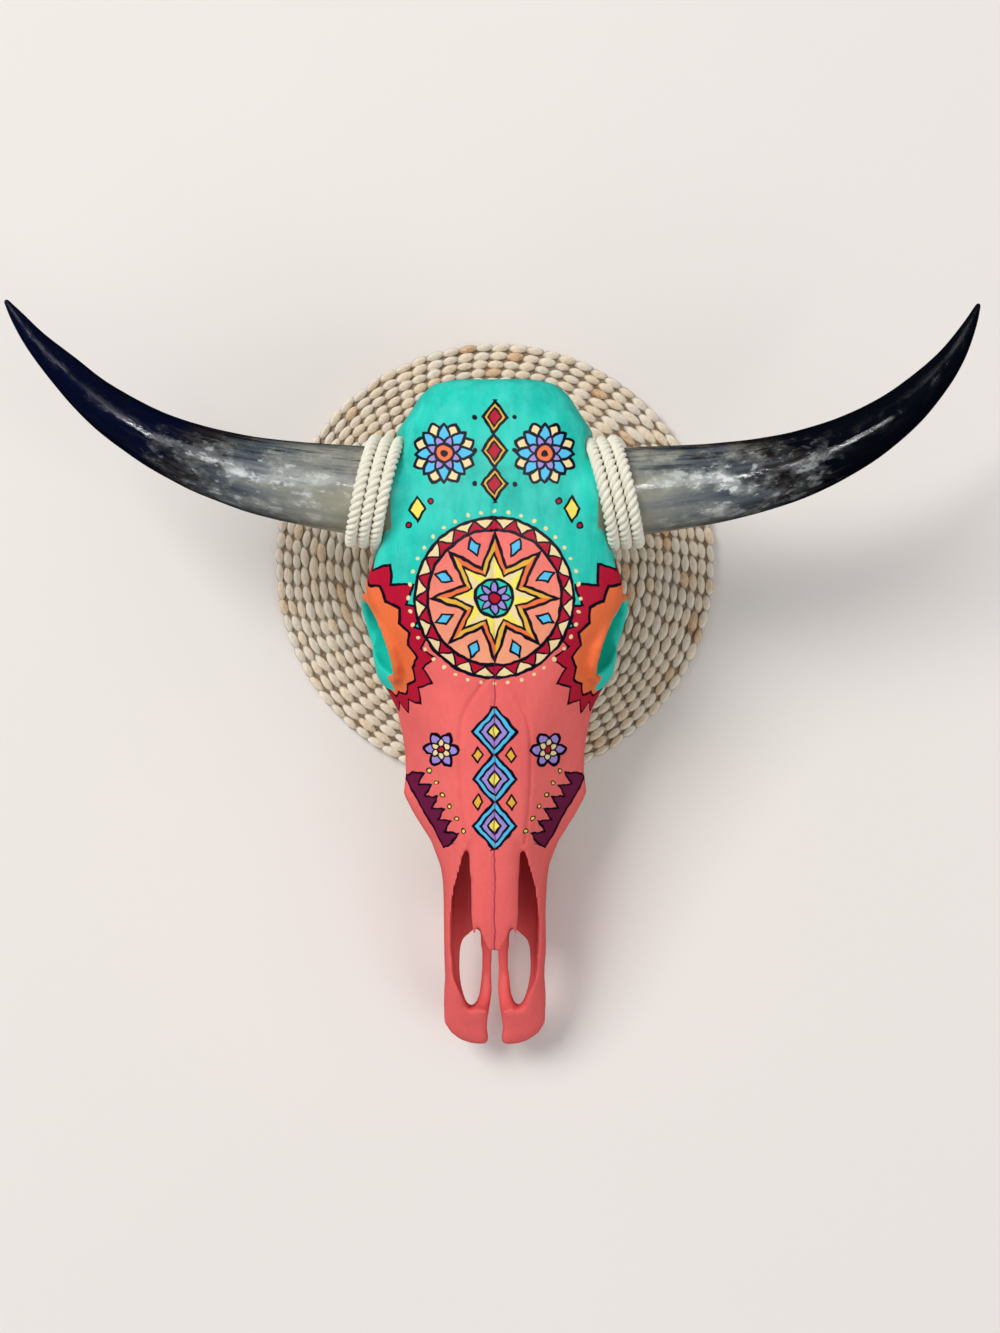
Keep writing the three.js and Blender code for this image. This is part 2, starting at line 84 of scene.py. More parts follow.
def math_node(operation: str, before: bool = False) -> Callable[..., "Value"]:
    """Give a method that adds one Math node.

    Args:
        operation: the Math node's operation.
        before: whether the other value comes first.

    Returns:
        The method, which takes the node's other values.
    """

    def method(value: "Value", *others: "Value | float") -> "Value":
        """Add the node and give its result."""
        values = [*others, value] if before else [value, *others]
        made = value.board.node("ShaderNodeMath", {"operation": operation}, dict(enumerate(values)))
        return Value(value.board, made.outputs[0])

    return method


class Value:
    """A number in a shader: sums on it add Math nodes to its board."""

    __add__ = __radd__ = math_node("ADD")
    __mul__ = __rmul__ = math_node("MULTIPLY")
    __sub__ = math_node("SUBTRACT")
    __rsub__ = math_node("SUBTRACT", before=True)
    __truediv__ = math_node("DIVIDE")
    __pow__ = math_node("POWER")
    __abs__ = math_node("ABSOLUTE")
    least = math_node("MINIMUM")
    most = math_node("MAXIMUM")
    folded = math_node("PINGPONG")  # to and fro between nought and the given half period
    wrapped = math_node("WRAP")  # from the high end, given first, back to the low one
    turn_from = math_node("ARCTAN2")  # the angle of the point (other, self)
    sine = math_node("SINE")
    cosine = math_node("COSINE")

    def __init__(self, board: "Board", socket: bpy.types.NodeSocket) -> None:
        """Keep the board and the socket that gives the number."""
        self.board = board
        self.socket = socket

    def within(self, low: float = 0.0, high: float = 1.0) -> "Value":
        """Keep to a range."""
        return self.most(low).least(high)

    def inside(self, soft: float = 0.4) -> "Value":
        """A mask of one where this distance is below nought, with a soft edge of the given width."""
        return (0.5 - self / soft).within()


def length(*parts: Value) -> Value:
    """The length of a vector from its parts."""
    total = parts[0] * parts[0]
    for part in parts[1:]:
        total = total + part * part
    return total ** 0.5


class Board:
    """The nodes of one material."""

    def __init__(self, name: str) -> None:
        """Make an empty material with its surface shader.

        Args:
            name: the material's name.
        """
        self.material = bpy.data.materials.new(name)
        self.material.use_nodes = True
        self.tree = self.material.node_tree
        self.tree.nodes.clear()
        self.surface = self.node("ShaderNodeBsdfPrincipled")
        self.node("ShaderNodeOutputMaterial", {}, {"Surface": self.surface.outputs[0]})

    def node(
        self,
        kind: str,
        settings: dict[str, object] | None = None,
        inputs: dict[int | str, object] | None = None,
    ) -> bpy.types.Node:
        """Add a node.

        Args:
            kind: the node's type.
            settings: its properties, or a ramp's stops under "stops".
            inputs: values or links of its sockets, by place or name.

        Returns:
            The node.
        """
        made = self.tree.nodes.new(kind)
        for key, value in (settings or {}).items():
            if key == "stops":
                ramp = made.color_ramp.elements
                while len(ramp) < len(value):
                    ramp.new(1.0)
                for element, (place, colour) in zip(ramp, value):
                    element.position = place
                    element.color = colour
            else:
                setattr(made, key, value)
        for key, value in (inputs or {}).items():
            self.feed(made.inputs[key], value)
        return made

    def feed(self, socket: bpy.types.NodeSocket, value: object) -> None:
        """Link a socket, or set it to a constant."""
        if isinstance(value, Value):
            value = value.socket
        if isinstance(value, bpy.types.NodeSocket):
            self.tree.links.new(value, socket)
        else:
            socket.default_value = value

    def spot(self) -> bpy.types.NodeSocket:
        """The point on the object, in metres."""
        return self.node("ShaderNodeTexCoord").outputs["Object"]

    def parts(self, vector: bpy.types.NodeSocket) -> list[Value]:
        """The three numbers of a vector."""
        made = self.node("ShaderNodeSeparateXYZ", {}, {0: vector})
        return [Value(self, made.outputs[i]) for i in range(3)]

    def place(self) -> list[Value]:
        """The point on the object, as X, Y and Z in millimetres."""
        scaled = self.node("ShaderNodeVectorMath", {"operation": "SCALE"}, {0: self.spot(), "Scale": 1 / MM})
        return self.parts(scaled.outputs[0])

    def vector(self, x: Value | float, y: Value | float, z: Value | float) -> bpy.types.NodeSocket:
        """A vector from three numbers."""
        return self.node("ShaderNodeCombineXYZ", {}, {0: x, 1: y, 2: z}).outputs[0]

    def attribute(self, name: str) -> bpy.types.Node:
        """The node that reads a named attribute of the mesh."""
        return self.node("ShaderNodeAttribute", {"attribute_name": name})

    def noise(self, at: bpy.types.NodeSocket, scale: float, detail: float = 2.0, rough: float = 0.5) -> Value:
        """A cloudy pattern from 0 to 1.

        Args:
            at: where it is read.
            scale: how fine it is.
            detail: its number of finer layers.
            rough: the strength of those layers.

        Returns:
            The pattern.
        """
        inputs = {"Vector": at, "Scale": scale, "Detail": detail, "Roughness": rough}
        return Value(self, self.node("ShaderNodeTexNoise", {}, inputs).outputs["Fac"])

    def cells(self, at: bpy.types.NodeSocket, scale: float) -> Value:
        """The distance to the nearest of many scattered points."""
        made = self.node("ShaderNodeTexVoronoi", {}, {"Vector": at, "Scale": scale})
        return Value(self, made.outputs["Distance"])

    def mix(
        self, share: Value | float, first: object, second: object, blend: str = "MIX"
    ) -> bpy.types.NodeSocket:
        """Blend two colours.

        Args:
            share: how much of the second.
            first, second: the colours or links.
            blend: how they are blended.

        Returns:
            The blended colour.
        """
        inputs = {"Factor": share, 6: first, 7: second}
        return self.node("ShaderNodeMix", {"data_type": "RGBA", "blend_type": blend}, inputs).outputs[2]

    def ramp(self, share: Value, stops: list[tuple[float, Colour]]) -> bpy.types.NodeSocket:
        """A colour that runs through stops."""
        return self.node("ShaderNodeValToRGB", {"stops": stops}, {0: share}).outputs[0]

    def shaded(self, colour: object, pattern: Value, depth: float) -> bpy.types.NodeSocket:
        """A colour made lighter and darker by a pattern, by the given share each way."""
        level = (pattern - 0.5) * (2 * depth) + 1.0
        return self.mix(1.0, colour, self.vector(level, level, level), "MULTIPLY")

    def raise_surface(self, height: Value, distance: float, strength: float = 1.0) -> None:
        """Give the surface a fine relief.

        Args:
            height: the relief from 0 to 1.
            distance: its depth in metres.
            strength: its strength.
        """
        made = self.node("ShaderNodeBump", {}, {"Strength": strength, "Distance": distance, "Height": height})
        self.feed(self.surface.inputs["Normal"], made.outputs[0])

    def finish(self, **sockets: object) -> bpy.types.Material:
        """Set the surface shader's sockets, named with _ for a space, and give the material."""
        for name, value in sockets.items():
            self.feed(self.surface.inputs[name.replace("_", " ")], value)
        return self.material


# Modelling by hand


def only(piece: bpy.types.Object) -> None:
    """Select one object alone and make it active."""
    if bpy.ops.object.mode_set.poll():
        bpy.ops.object.mode_set(mode="OBJECT")
    bpy.ops.object.select_all(action="DESELECT")
    piece.select_set(True)
    bpy.context.view_layer.objects.active = piece


@contextmanager
def editing(piece: bpy.types.Object) -> Iterator[None]:
    """Open an object in edit mode with all of it selected, and close it again."""
    only(piece)
    bpy.ops.object.mode_set(mode="EDIT")
    bpy.ops.mesh.select_all(action="SELECT")
    yield
    bpy.ops.object.mode_set(mode="OBJECT")


def added(make: Callable[..., set], name: str, **sizes: object) -> bpy.types.Object:
    """Add a primitive and give it a name.

    Args:
        make: the operator that adds it.
        name: its name.
        sizes: the operator's values.

    Returns:
        The new object.
    """
    bpy.ops.object.select_all(action="DESELECT")
    make(**sizes)
    made = bpy.context.object
    made.name = made.data.name = name
    return made


def linked(name: str, data: bpy.types.ID) -> bpy.types.Object:
    """Add an object that shows some data."""
    made = bpy.data.objects.new(name, data)
    bpy.context.scene.collection.objects.link(made)
    return made


def modified(piece: bpy.types.Object, kind: str, **settings: object) -> None:
    """Add a modifier to an object and apply it.

    Args:
        piece: the object.
        kind: the modifier's type.
        settings: its values.
    """
    only(piece)
    made = piece.modifiers.new(kind.lower(), kind)
    for key, value in settings.items():
        setattr(made, key, value)
    bpy.ops.object.modifier_apply(modifier=made.name)


def settled(piece: bpy.types.Object) -> None:
    """Put an object's place, turn and size into its mesh."""
    only(piece)
    bpy.ops.object.transform_apply(location=True, rotation=True, scale=True)


def points_of(mesh: bpy.types.Mesh) -> np.ndarray:
    """A mesh's points as rows of X, Y and Z in millimetres."""
    flat = np.empty(len(mesh.vertices) * 3)
    mesh.vertices.foreach_get("co", flat)
    return flat.reshape(-1, 3) / MM


def move_points(mesh: bpy.types.Mesh, points: np.ndarray) -> None:
    """Put a mesh's points at new places, given in millimetres."""
    mesh.vertices.foreach_set("co", (points * MM).ravel())
    mesh.update()


def normals_of(mesh: bpy.types.Mesh) -> np.ndarray:
    """A mesh's directions outwards at its points."""
    flat = np.empty(len(mesh.vertices) * 3, np.float32)
    mesh.vertex_normals.foreach_get("vector", flat)
    return flat.reshape(-1, 3).astype(float)


def cloudy(points: np.ndarray, size: float, shift: float = 0.0) -> np.ndarray:
    """A smooth random height from about -1 to 1 at each point.

    Args:
        points: rows of X, Y and Z in millimetres.
        size: the width of its hills in millimetres.
        shift: moves the pattern.

    Returns:
        One height for each row.
    """
    spots = points / size + shift
    return np.array([noise.noise(spot) for spot in spots.tolist()])


def stored(mesh: bpy.types.Mesh, name: str, values: np.ndarray) -> None:
    """Keep a vector or a number for each point of a mesh as a named attribute."""
    vector = values.ndim == 2
    made = mesh.attributes.new(name, "FLOAT_VECTOR" if vector else "FLOAT", "POINT")
    made.data.foreach_set("vector" if vector else "value", values.astype(np.float32).ravel())


def foot_axis(side: Side) -> np.ndarray:
    """The direction in which a horn leaves the skull."""
    axis = np.array([side.value, HORN_LEAN, 0.0])
    return axis / np.linalg.norm(axis)


def smooth_line(knots: list[tuple[float, ...]], per_gap: int) -> np.ndarray:
    """Run a smooth line through knots.

    Args:
        knots: rows of any number of values.
        per_gap: the number of steps between two knots.

    Returns:
        The values along the line, knots included.
    """
    rows = np.array(knots, float)
    padded = np.vstack([2 * rows[0] - rows[1], rows, 2 * rows[-1] - rows[-2]])
    out = []
    for i in range(1, len(rows)):
        before, start, end, after = padded[i - 1 : i + 3]
        for step in range(per_gap):
            t = step / per_gap
            out.append(
                0.5
                * (
                    2 * start
                    + (end - before) * t
                    + (2 * before - 5 * start + 4 * end - after) * t**2
                    + (3 * start - before - 3 * end + after) * t**3
                )
            )
    return np.array([*out, rows[-1]])


def handed_in(piece: bpy.types.Object, node: str, material: bpy.types.Material) -> None:
    """Dress a finished piece and let it stand for a node.

    Args:
        piece: the finished piece.
        node: the node that it stands for.
        material: its material.
    """
    piece.data.materials.clear()
    piece.data.materials.append(material)
    only(piece)
    bpy.ops.object.shade_smooth()
    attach(piece, "root")
    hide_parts(node)
    log.info("%s: %d faces", piece.name, len(piece.data.polygons))


# Finishes


@dataclass(frozen=True)
class Paints:
    """The pots of paint used on the skull."""

    teal: Colour = tint(0.13, 0.82, 0.74)
    deep_teal: Colour = tint(0.05, 0.66, 0.60)
    pale_teal: Colour = tint(0.36, 0.88, 0.82)
    coral: Colour = tint(0.98, 0.445, 0.425)
    deep_coral: Colour = tint(0.87, 0.33, 0.335)
    peach: Colour = tint(0.98, 0.66, 0.50)
    crimson: Colour = tint(0.74, 0.04, 0.19)
    orange: Colour = tint(0.97, 0.46, 0.25)
    gold: Colour = tint(0.93, 0.72, 0.24)
    cream: Colour = tint(0.97, 0.87, 0.64)
    yellow: Colour = tint(0.99, 0.92, 0.38)
    sky: Colour = tint(0.33, 0.77, 0.94)
    lavender: Colour = tint(0.65, 0.56, 0.86)
    maroon: Colour = tint(0.45, 0.09, 0.26)
    dark_crimson: Colour = tint(0.62, 0.05, 0.16)
    navy: Colour = tint(0.06, 0.05, 0.13)
    bone: Colour = tint(0.86, 0.81, 0.70)
    # Brown for the bare bone's stains, also laid as painted shade under the ropes.
    stain_and_shade: Colour = tint(0.55, 0.45, 0.32)


@dataclass(frozen=True)
class EyeSocket:
    """Where a socket sits and looks, on the right side, in millimetres."""

    middle: Point = (91.5, -66.5, 121.0)
    up: Point = (-0.2277, 0.0, 0.9737)
    forward: Point = (-0.3336, -0.9427, 0.0)
    radius: float = 34.0


@dataclass(frozen=True)
class ToothRow:
    """Where a row of cheek teeth stands along Y, how wide a tooth is and how high the gum, in millimetres."""

    first: float = -250.0
    last: float = -104.0
    width: float = 24.3
    gum: float = 36.0


class SkullPaint:
    """Satin acrylic paint on bone: a traditional geometric design in strong colours with dark outlines."""

    line = 1.15  # half the width of an outline, in millimetres
    wobble = 3.4  # how far the painter's hand strays, in millimetres
    paints = Paints()
    socket = EyeSocket()
    teeth = ToothRow()

    def __init__(self) -> None:
        """Set up the board and the coordinates that every motif reads."""
        self.board = Board("skull_paint")
        self.real_x, self.real_y, self.z = self.board.place()
        self.spot = self.board.vector(self.real_x, self.real_y, self.z)
        turned = self.board.vector(self.real_y, self.z, self.real_x)
        self.x = self.real_x + (self.board.noise(self.spot, 0.09, 1.0) - 0.5) * self.wobble
        self.y = self.real_y + (self.board.noise(turned, 0.11, 1.0) - 0.5) * self.wobble
        self.wide = abs(self.x)
        self.real_wide = abs(self.real_x)
        self.roof, self.under, _ = self.board.parts(self.board.attribute("cover").outputs["Vector"])
        self.hidden: Value | float = 0.0
        self.press = (self.board.noise(self.spot, 0.16, 1.0) - 0.5) * 0.9
        self.colour: object = self.paints.teal

    def lay(self, distance: Value, fill: object, line: float | None = None) -> None:
        """Paint a shape with its dark outline over what is there.

        Args:
            distance: below nought inside the shape, in millimetres.
            fill: its colour.
            line: half the width of the outline.
        """
        half = self.line if line is None else line
        distance = distance + self.hidden
        if half > 0:
            outline = (distance - half - self.press).inside()
            self.colour = self.board.mix(outline, self.colour, self.paints.navy)
        self.colour = self.board.mix((distance + half).inside(), self.colour, fill)

    def streaks(self, across: float, along: float) -> Value:
        """A pattern that is drawn out from the nose to the poll."""
        at = self.board.vector(self.real_x * across, self.real_y * along, self.z * across)
        return self.board.noise(at, 1.0, 3.0, 0.6)

    def wheel(self, x: Value, y: Value, count: int, shift: float = 0.0) -> tuple[Value, Value, Value]:
        """Fold a plane into one sector of a wheel.

        Args:
            x, y: the place from the wheel's middle.
            count: the number of sectors.
            shift: turns the wheel, in sectors.

        Returns:
            The distance from the middle, then the place along and across the sector's middle line.
        """
        out = length(x, y)
        sector = 2 * math.pi / count
        turn = (y.turn_from(x) + (0.5 + shift) * sector).wrapped(sector, 0.0) - sector / 2
        return out, out * turn.cosine(), abs(out * turn.sine())

    def star(self, along: Value, across: Value, count: int, tip: float, valley: float) -> Value:
        """The distance from the edge of a star.

        Args:
            along, across: the place in one sector.
            count: its number of points.
            tip, valley: how far out its points and valleys lie.

        Returns:
            The distance, below nought inside.
        """
        half = math.pi / count
        valley_x, valley_y = valley * math.cos(half), valley * math.sin(half)
        run = math.hypot(tip - valley_x, valley_y)
        return (along - tip) * (valley_y / run) + across * ((tip - valley_x) / run)

    def lozenge(self, x: Value, y: Value, wide: float, tall: float) -> Value:
        """The distance from the edge of a lozenge with the given half sizes."""
        scale = wide * tall / math.hypot(wide, tall)
        return (abs(x) / wide + abs(y) / tall - 1.0) * scale

    def petals(
        self, x: Value, y: Value, count: int, reach: float, round_at: float, shift: float = 0.0
    ) -> Value:
        """The distance from the edge of a ring of pointed petals.

        Args:
            x, y: the place from the flower's middle.
            count: the number of petals.
            reach: how far out the tips lie.
            round_at: how far out the petals are widest.
            shift: turns the flower, in petals.

        Returns:
            The distance, below nought inside.
        """
        _, along, across = self.wheel(x, y, count, shift)
        half = reach - round_at
        wide = round_at * math.tan(math.pi / count) * 0.86
        bow = (half * half - wide * wide) / (2 * wide)
        return length(along - round_at, across + bow) - (bow + wide)

    def ground(self) -> None:
        """Paint the teal crown and the coral face, with a toothed border between them."""
        board, paints = self.board, self.paints
        patches = (board.noise(self.spot, 0.026, 5.0, 0.66) * 3.6 - 1.5).within()
        crown = board.mix(patches * 0.75, paints.teal, paints.deep_teal)
        crown = board.mix((self.streaks(0.1, 0.03) * 2.6 - 1.0).within() * 0.45, crown, paints.pale_teal)
        specks = ((board.noise(self.spot, 0.2, 4.0, 0.75) - 0.58) * 9.0).within() * patches
        self.colour = board.mix(specks * 0.5, crown, paints.deep_teal)
        reddish = (board.noise(self.spot, 0.02, 3.0) * 2.0 - 0.6).within() * 0.5
        down = (self.real_y * -0.006 - 1.0).within() * 0.55
        rosy = board.mix(reddish.most(down), paints.coral, paints.deep_coral)
        self.lay(self.y + 58.0 + (self.x + 7.0).folded(7.0) * 1.3, rosy)

    def medallion(self) -> None:
        """Paint the eight-pointed star in its round field on the forehead."""
        board, paints = self.board, self.paints
        x, y = self.x / 1.08, (self.y + 36.0) / 1.08
        out, _, _ = self.wheel(x, y, 8)
        _, dot_along, dot_across = self.wheel(x, y, 40)
        self.lay(length(dot_along - 62.0, dot_across) - 1.4, paints.cream, 0.0)
        self.lay(out - 57.5, paints.cream)
        _, along, across = self.wheel(x, y, 24)
        self.lay(self.star(along, across, 24, 57.0, 49.5), paints.crimson, 0.7)
        glow = board.mix(((y + 50.0) / 95.0).within(), paints.peach, paints.coral)
        self.lay(out - 48.5, board.shaded(glow, board.noise(self.spot, 0.05, 4.0, 0.6), 0.2))
        _, along, across = self.wheel(x, y, 8, 0.5)
        self.lay(self.lozenge(along - 39.5, across, 6.6, 4.2), paints.sky, 0.8)
        _, along, across = self.wheel(x, y, 8)
        eighth = math.pi / 4
        half_tone = ((y.turn_from(x) + eighth / 2).wrapped(eighth, 0.0) - eighth / 2).inside(0.02)
        outer = board.mix(half_tone, paints.gold, paints.orange)
        inner = board.mix(half_tone, paints.cream, paints.yellow)
        self.lay(self.star(along, across, 8, 45.5, 23.0), outer)
        self.lay(self.star(along, across, 8, 31.5, 17.0), inner, 0.8)
        self.lay(out - 13.5, paints.teal)
        self.lay(self.petals(x, y, 8, 12.0, 7.0), paints.lavender, 0.7)
        self.lay(out - 4.4, paints.crimson, 0.8)

    def rosette(self, x: Value, y: Value) -> None:
        """Paint a flower of two rings of petals about a middle.

        Args:
            x, y: the place from its middle.
        """
        paints = self.paints
        self.lay(self.petals(x, y, 8, 24.5, 15.5, 0.5), paints.cream)
        self.lay(self.petals(x, y, 8, 22.5, 13.0), paints.sky)
        self.lay(self.petals(x, y, 8, 14.0, 8.5, 0.5), paints.lavender, 0.9)
        self.lay(length(x, y) - 7.0, paints.orange)
        self.lay(length(x, y) - 2.6, paints.navy, 0.0)

    def crown(self) -> None:
        """Paint the rosettes on the temples and the chain of lozenges down the middle."""
        paints, wide = self.paints, self.wide
        self.rosette(wide - 39.0, self.y - 76.0)
        link = (self.y - 39.0).wrapped(26.0, 0.0) - 13.0
        chain = self.lozenge(self.x, link, 9.5, 12.6)
        bounds = abs(self.y - 78.0) - 39.5
        self.lay(chain.most(bounds), paints.gold)
        self.lay(self.lozenge(self.x, link, 5.4, 7.4).most(bounds), paints.crimson, 0.8)
        beads = length(wide - 15.5, (self.y - 52.0).wrapped(13.0, -13.0))
        self.lay(beads.most(bounds) - 2.0, paints.navy, 0.0)
        self.lay(self.lozenge(wide - 60.0, self.y - 33.0, 6.0, 9.5), paints.yellow, 1.0)
        for across, along in ((49.5, 39.0), (66.5, 20.5)):
            self.lay(length(wide - across, self.y - along) - 2.2, paints.crimson, 0.7)

    def eye_rings(self) -> None:
        """Paint the flames and scallops above the eye sockets, and the teal sockets with their lower rims."""
        paints, socket = self.paints, self.socket
        parts = [self.wide - socket.middle[0], self.y - socket.middle[1], self.z - socket.middle[2]]
        up = parts[0] * socket.up[0] + parts[2] * socket.up[2]
        forward = parts[0] * socket.forward[0] + parts[1] * socket.forward[1]
        away = length(*parts)
        turn = up.turn_from(forward) / (2 * math.pi)
        scallops = (turn * 15.0).folded(0.5)
        flames = (turn * 19.0 + 0.35).folded(0.5)
        longer = (self.y + 70.0).most(0.0) * 0.19
        self.lay(away - 54.5 - flames * 19.0 - longer, paints.crimson)
        self.lay(away - 45.5 - scallops * 9.0 - longer, paints.orange)
        ring = length(up, forward)
        hollow = ring - socket.radius + 3.0
        below = (up + 7.0).most(ring - 44.0)
        depth = self.real_wide - (socket.middle[0] - 8.0)
        covered = (ring - socket.radius - 8.0).most(depth).most((self.roof - 0.5) * 40.0)
        self.lay(hollow.least(below).least(covered), paints.teal, 0.0)

    def nose_column(self) -> None:
        """Paint the column of three lozenges down the nose."""
        paints, pitch = self.paints, 38.0
        foot, middle = self.y + 236.0, abs(self.y + 179.0)
        link = foot.wrapped(pitch, 0.0) - pitch / 2
        rings = ((17.5, 20.5, None), (11.5, 13.5, 0.9), (5.2, 6.6, 0.9))
        for (wide, tall, line), fill in zip(rings, (paints.sky, paints.lavender, paints.yellow)):
            self.lay(self.lozenge(self.x, link, wide, tall).most(middle - pitch * 1.5), fill, line)
        joint = (foot + pitch / 2).wrapped(pitch, 0.0) - pitch / 2
        sides = self.lozenge(self.wide - 13.5, joint, 4.2, 6.0)
        self.lay(sides.most(middle - pitch), paints.gold, 0.8)

    def cheeks(self) -> None:
        """Paint the small flowers on the cheeks and the toothed edging beside them."""
        paints = self.paints
        x, y = self.wide - 43.0, self.y + 156.0
        self.lay(self.petals(x, y, 6, 14.5, 8.5), paints.lavender)
        self.lay(self.petals(x, y, 6, 8.5, 5.2, 0.5), paints.cream, 0.7)
        self.lay(length(x, y) - 2.8, paints.crimson, 0.7)
        x, y = self.wide - 68.0, self.y + 176.0
        along, across = y * -0.86 + x * -0.5, y * -0.5 + x * 0.86
        pitch, from_middle = 11.0, abs(along - 33.0)
        step = along.wrapped(pitch, 0.0) - pitch / 2
        teeth = (across * -1.0 - 9.0 + abs(step) * 1.75) * 0.5
        edging = teeth.most(from_middle - 33.0).most(across - 8.0).most(74.0 - self.z)
        self.lay(edging, paints.maroon, 0.8)
        dots = length(step, across + 14.0) - 1.7
        self.lay(dots.most(from_middle - 31.0), paints.yellow, 0.5)

    def bare_bone(self) -> Value:
        """A mask of the bone that the brush never reached: underneath, and on the neck's face and teeth."""
        ragged = self.board.noise(self.spot, 0.06, 3.0) * 14.0
        nose = (-240.0 - self.real_y).within(0.0, 60.0) * 0.62
        crown = (self.real_y + 40.0).within(0.0, 130.0) * 0.36
        neck = (self.real_y - 92.0).within(0.0, 30.0) * 1.2
        low = (self.z + ragged - (58.0 - nose + crown + neck)).inside(2.0)
        middle = self.socket.middle
        from_eye = length(self.real_wide - middle[0], self.real_y - middle[1], self.z - middle[2])
        beneath = ((self.under * 2.0 - 1.0) * 3.0 + ragged * 0.1).within() * (from_eye - 44.0).within()
        return low.most(beneath * (self.real_y + 225.0).within())

    def worn(self, paint: bpy.types.NodeSocket) -> bpy.types.NodeSocket:
        """The paint, darker far down in the nose from dark crimson paint and painted shade, with painted
        shade on the bone round the ropes, and cracked along the midline.

        Args:
            paint: the colour of the fresh paint.

        Returns:
            The colour of the paint with its painted shade and its crack.
        """
        board, y, wide = self.board, self.real_y, self.real_wide
        # Painted shade far down in the nose, over its darker crimson paint: darker the lower it lies.
        in_nose = (36.5 - wide).within() * (y + 380.0).within() * (-228.0 - y).within()
        below_rim = (((y + 411.0) * 0.37 + 41.0 - self.z) / 20.0).within()
        nose_paint_and_shade = below_rim * in_nose * ((y + 345.0) / 55.0).within(0.1)
        paint = board.mix(nose_paint_and_shade * 0.6, paint, self.paints.dark_crimson)
        # Painted shade: the bone under each rope is darkened with the brown of the bone's stains, so it shows
        # dark between the rope's turns.
        from_horn = length(y - 47.5 - (wide - 88.0) * HORN_LEAN, self.z - 148.0) - 37.5
        rope_gap_shade = from_horn.inside(1.0) * (wide - 80.0).within()
        paint = board.mix(rope_gap_shade * 0.85, paint, self.paints.stain_and_shade)
        crack = (self.wide - 0.5).inside(0.8) * (y * -0.02 - 1.0).within() * (self.z - 62.0).within()
        return board.mix(crack * 0.75, paint, self.paints.maroon)

    def aged_bone(self) -> bpy.types.NodeSocket:
        """The bare bone, patchy and dark between the teeth."""
        board, paints, row, y = self.board, self.paints, self.teeth, self.real_y
        patches = (board.noise(self.spot, 0.03, 4.0, 0.65) * 1.6 - 0.5).within()
        aged = board.mix(patches, paints.bone, paints.stain_and_shade)
        aged = board.shaded(aged, board.noise(self.spot, 0.25, 3.0, 0.7), 0.12)
        from_middle = abs((y - row.first).wrapped(row.width, 0.0) - row.width / 2)
        between = (from_middle - 10.2).within() * (row.gum + 2.0 - self.z).within()
        between = between * (row.last - y).within() * (y - row.first).within()
        return board.mix(between * 0.65, aged, paints.stain_and_shade)

    def material(self) -> bpy.types.Material:
        """Paint all the motifs in their order and give the finished material."""
        board = self.board
        self.ground()
        self.eye_rings()
        self.hidden = (0.5 - self.roof).most(0.0) * 80.0
        for motif in (self.medallion, self.crown, self.nose_column, self.cheeks):
            motif()
        bare = self.bare_bone()
        speckled = board.noise(self.spot, 0.4, 2.0, 0.7)
        fresh = board.shaded(board.shaded(self.colour, self.streaks(0.25, 0.04), 0.09), speckled, 0.05)
        colour = board.mix(bare, self.worn(fresh), self.aged_bone())
        pores = (board.cells(self.spot, 0.5) * 2.2).within()
        board.raise_surface(self.streaks(0.5, 0.08) * 0.55 + pores * 0.15 + speckled * 0.3, 0.00022)
        rough = bare * 0.28 + 0.38 + (speckled - 0.5) * 0.12
        return board.finish(Base_Color=colour, Roughness=rough, IOR=1.47, Specular_IOR_Level=0.3)


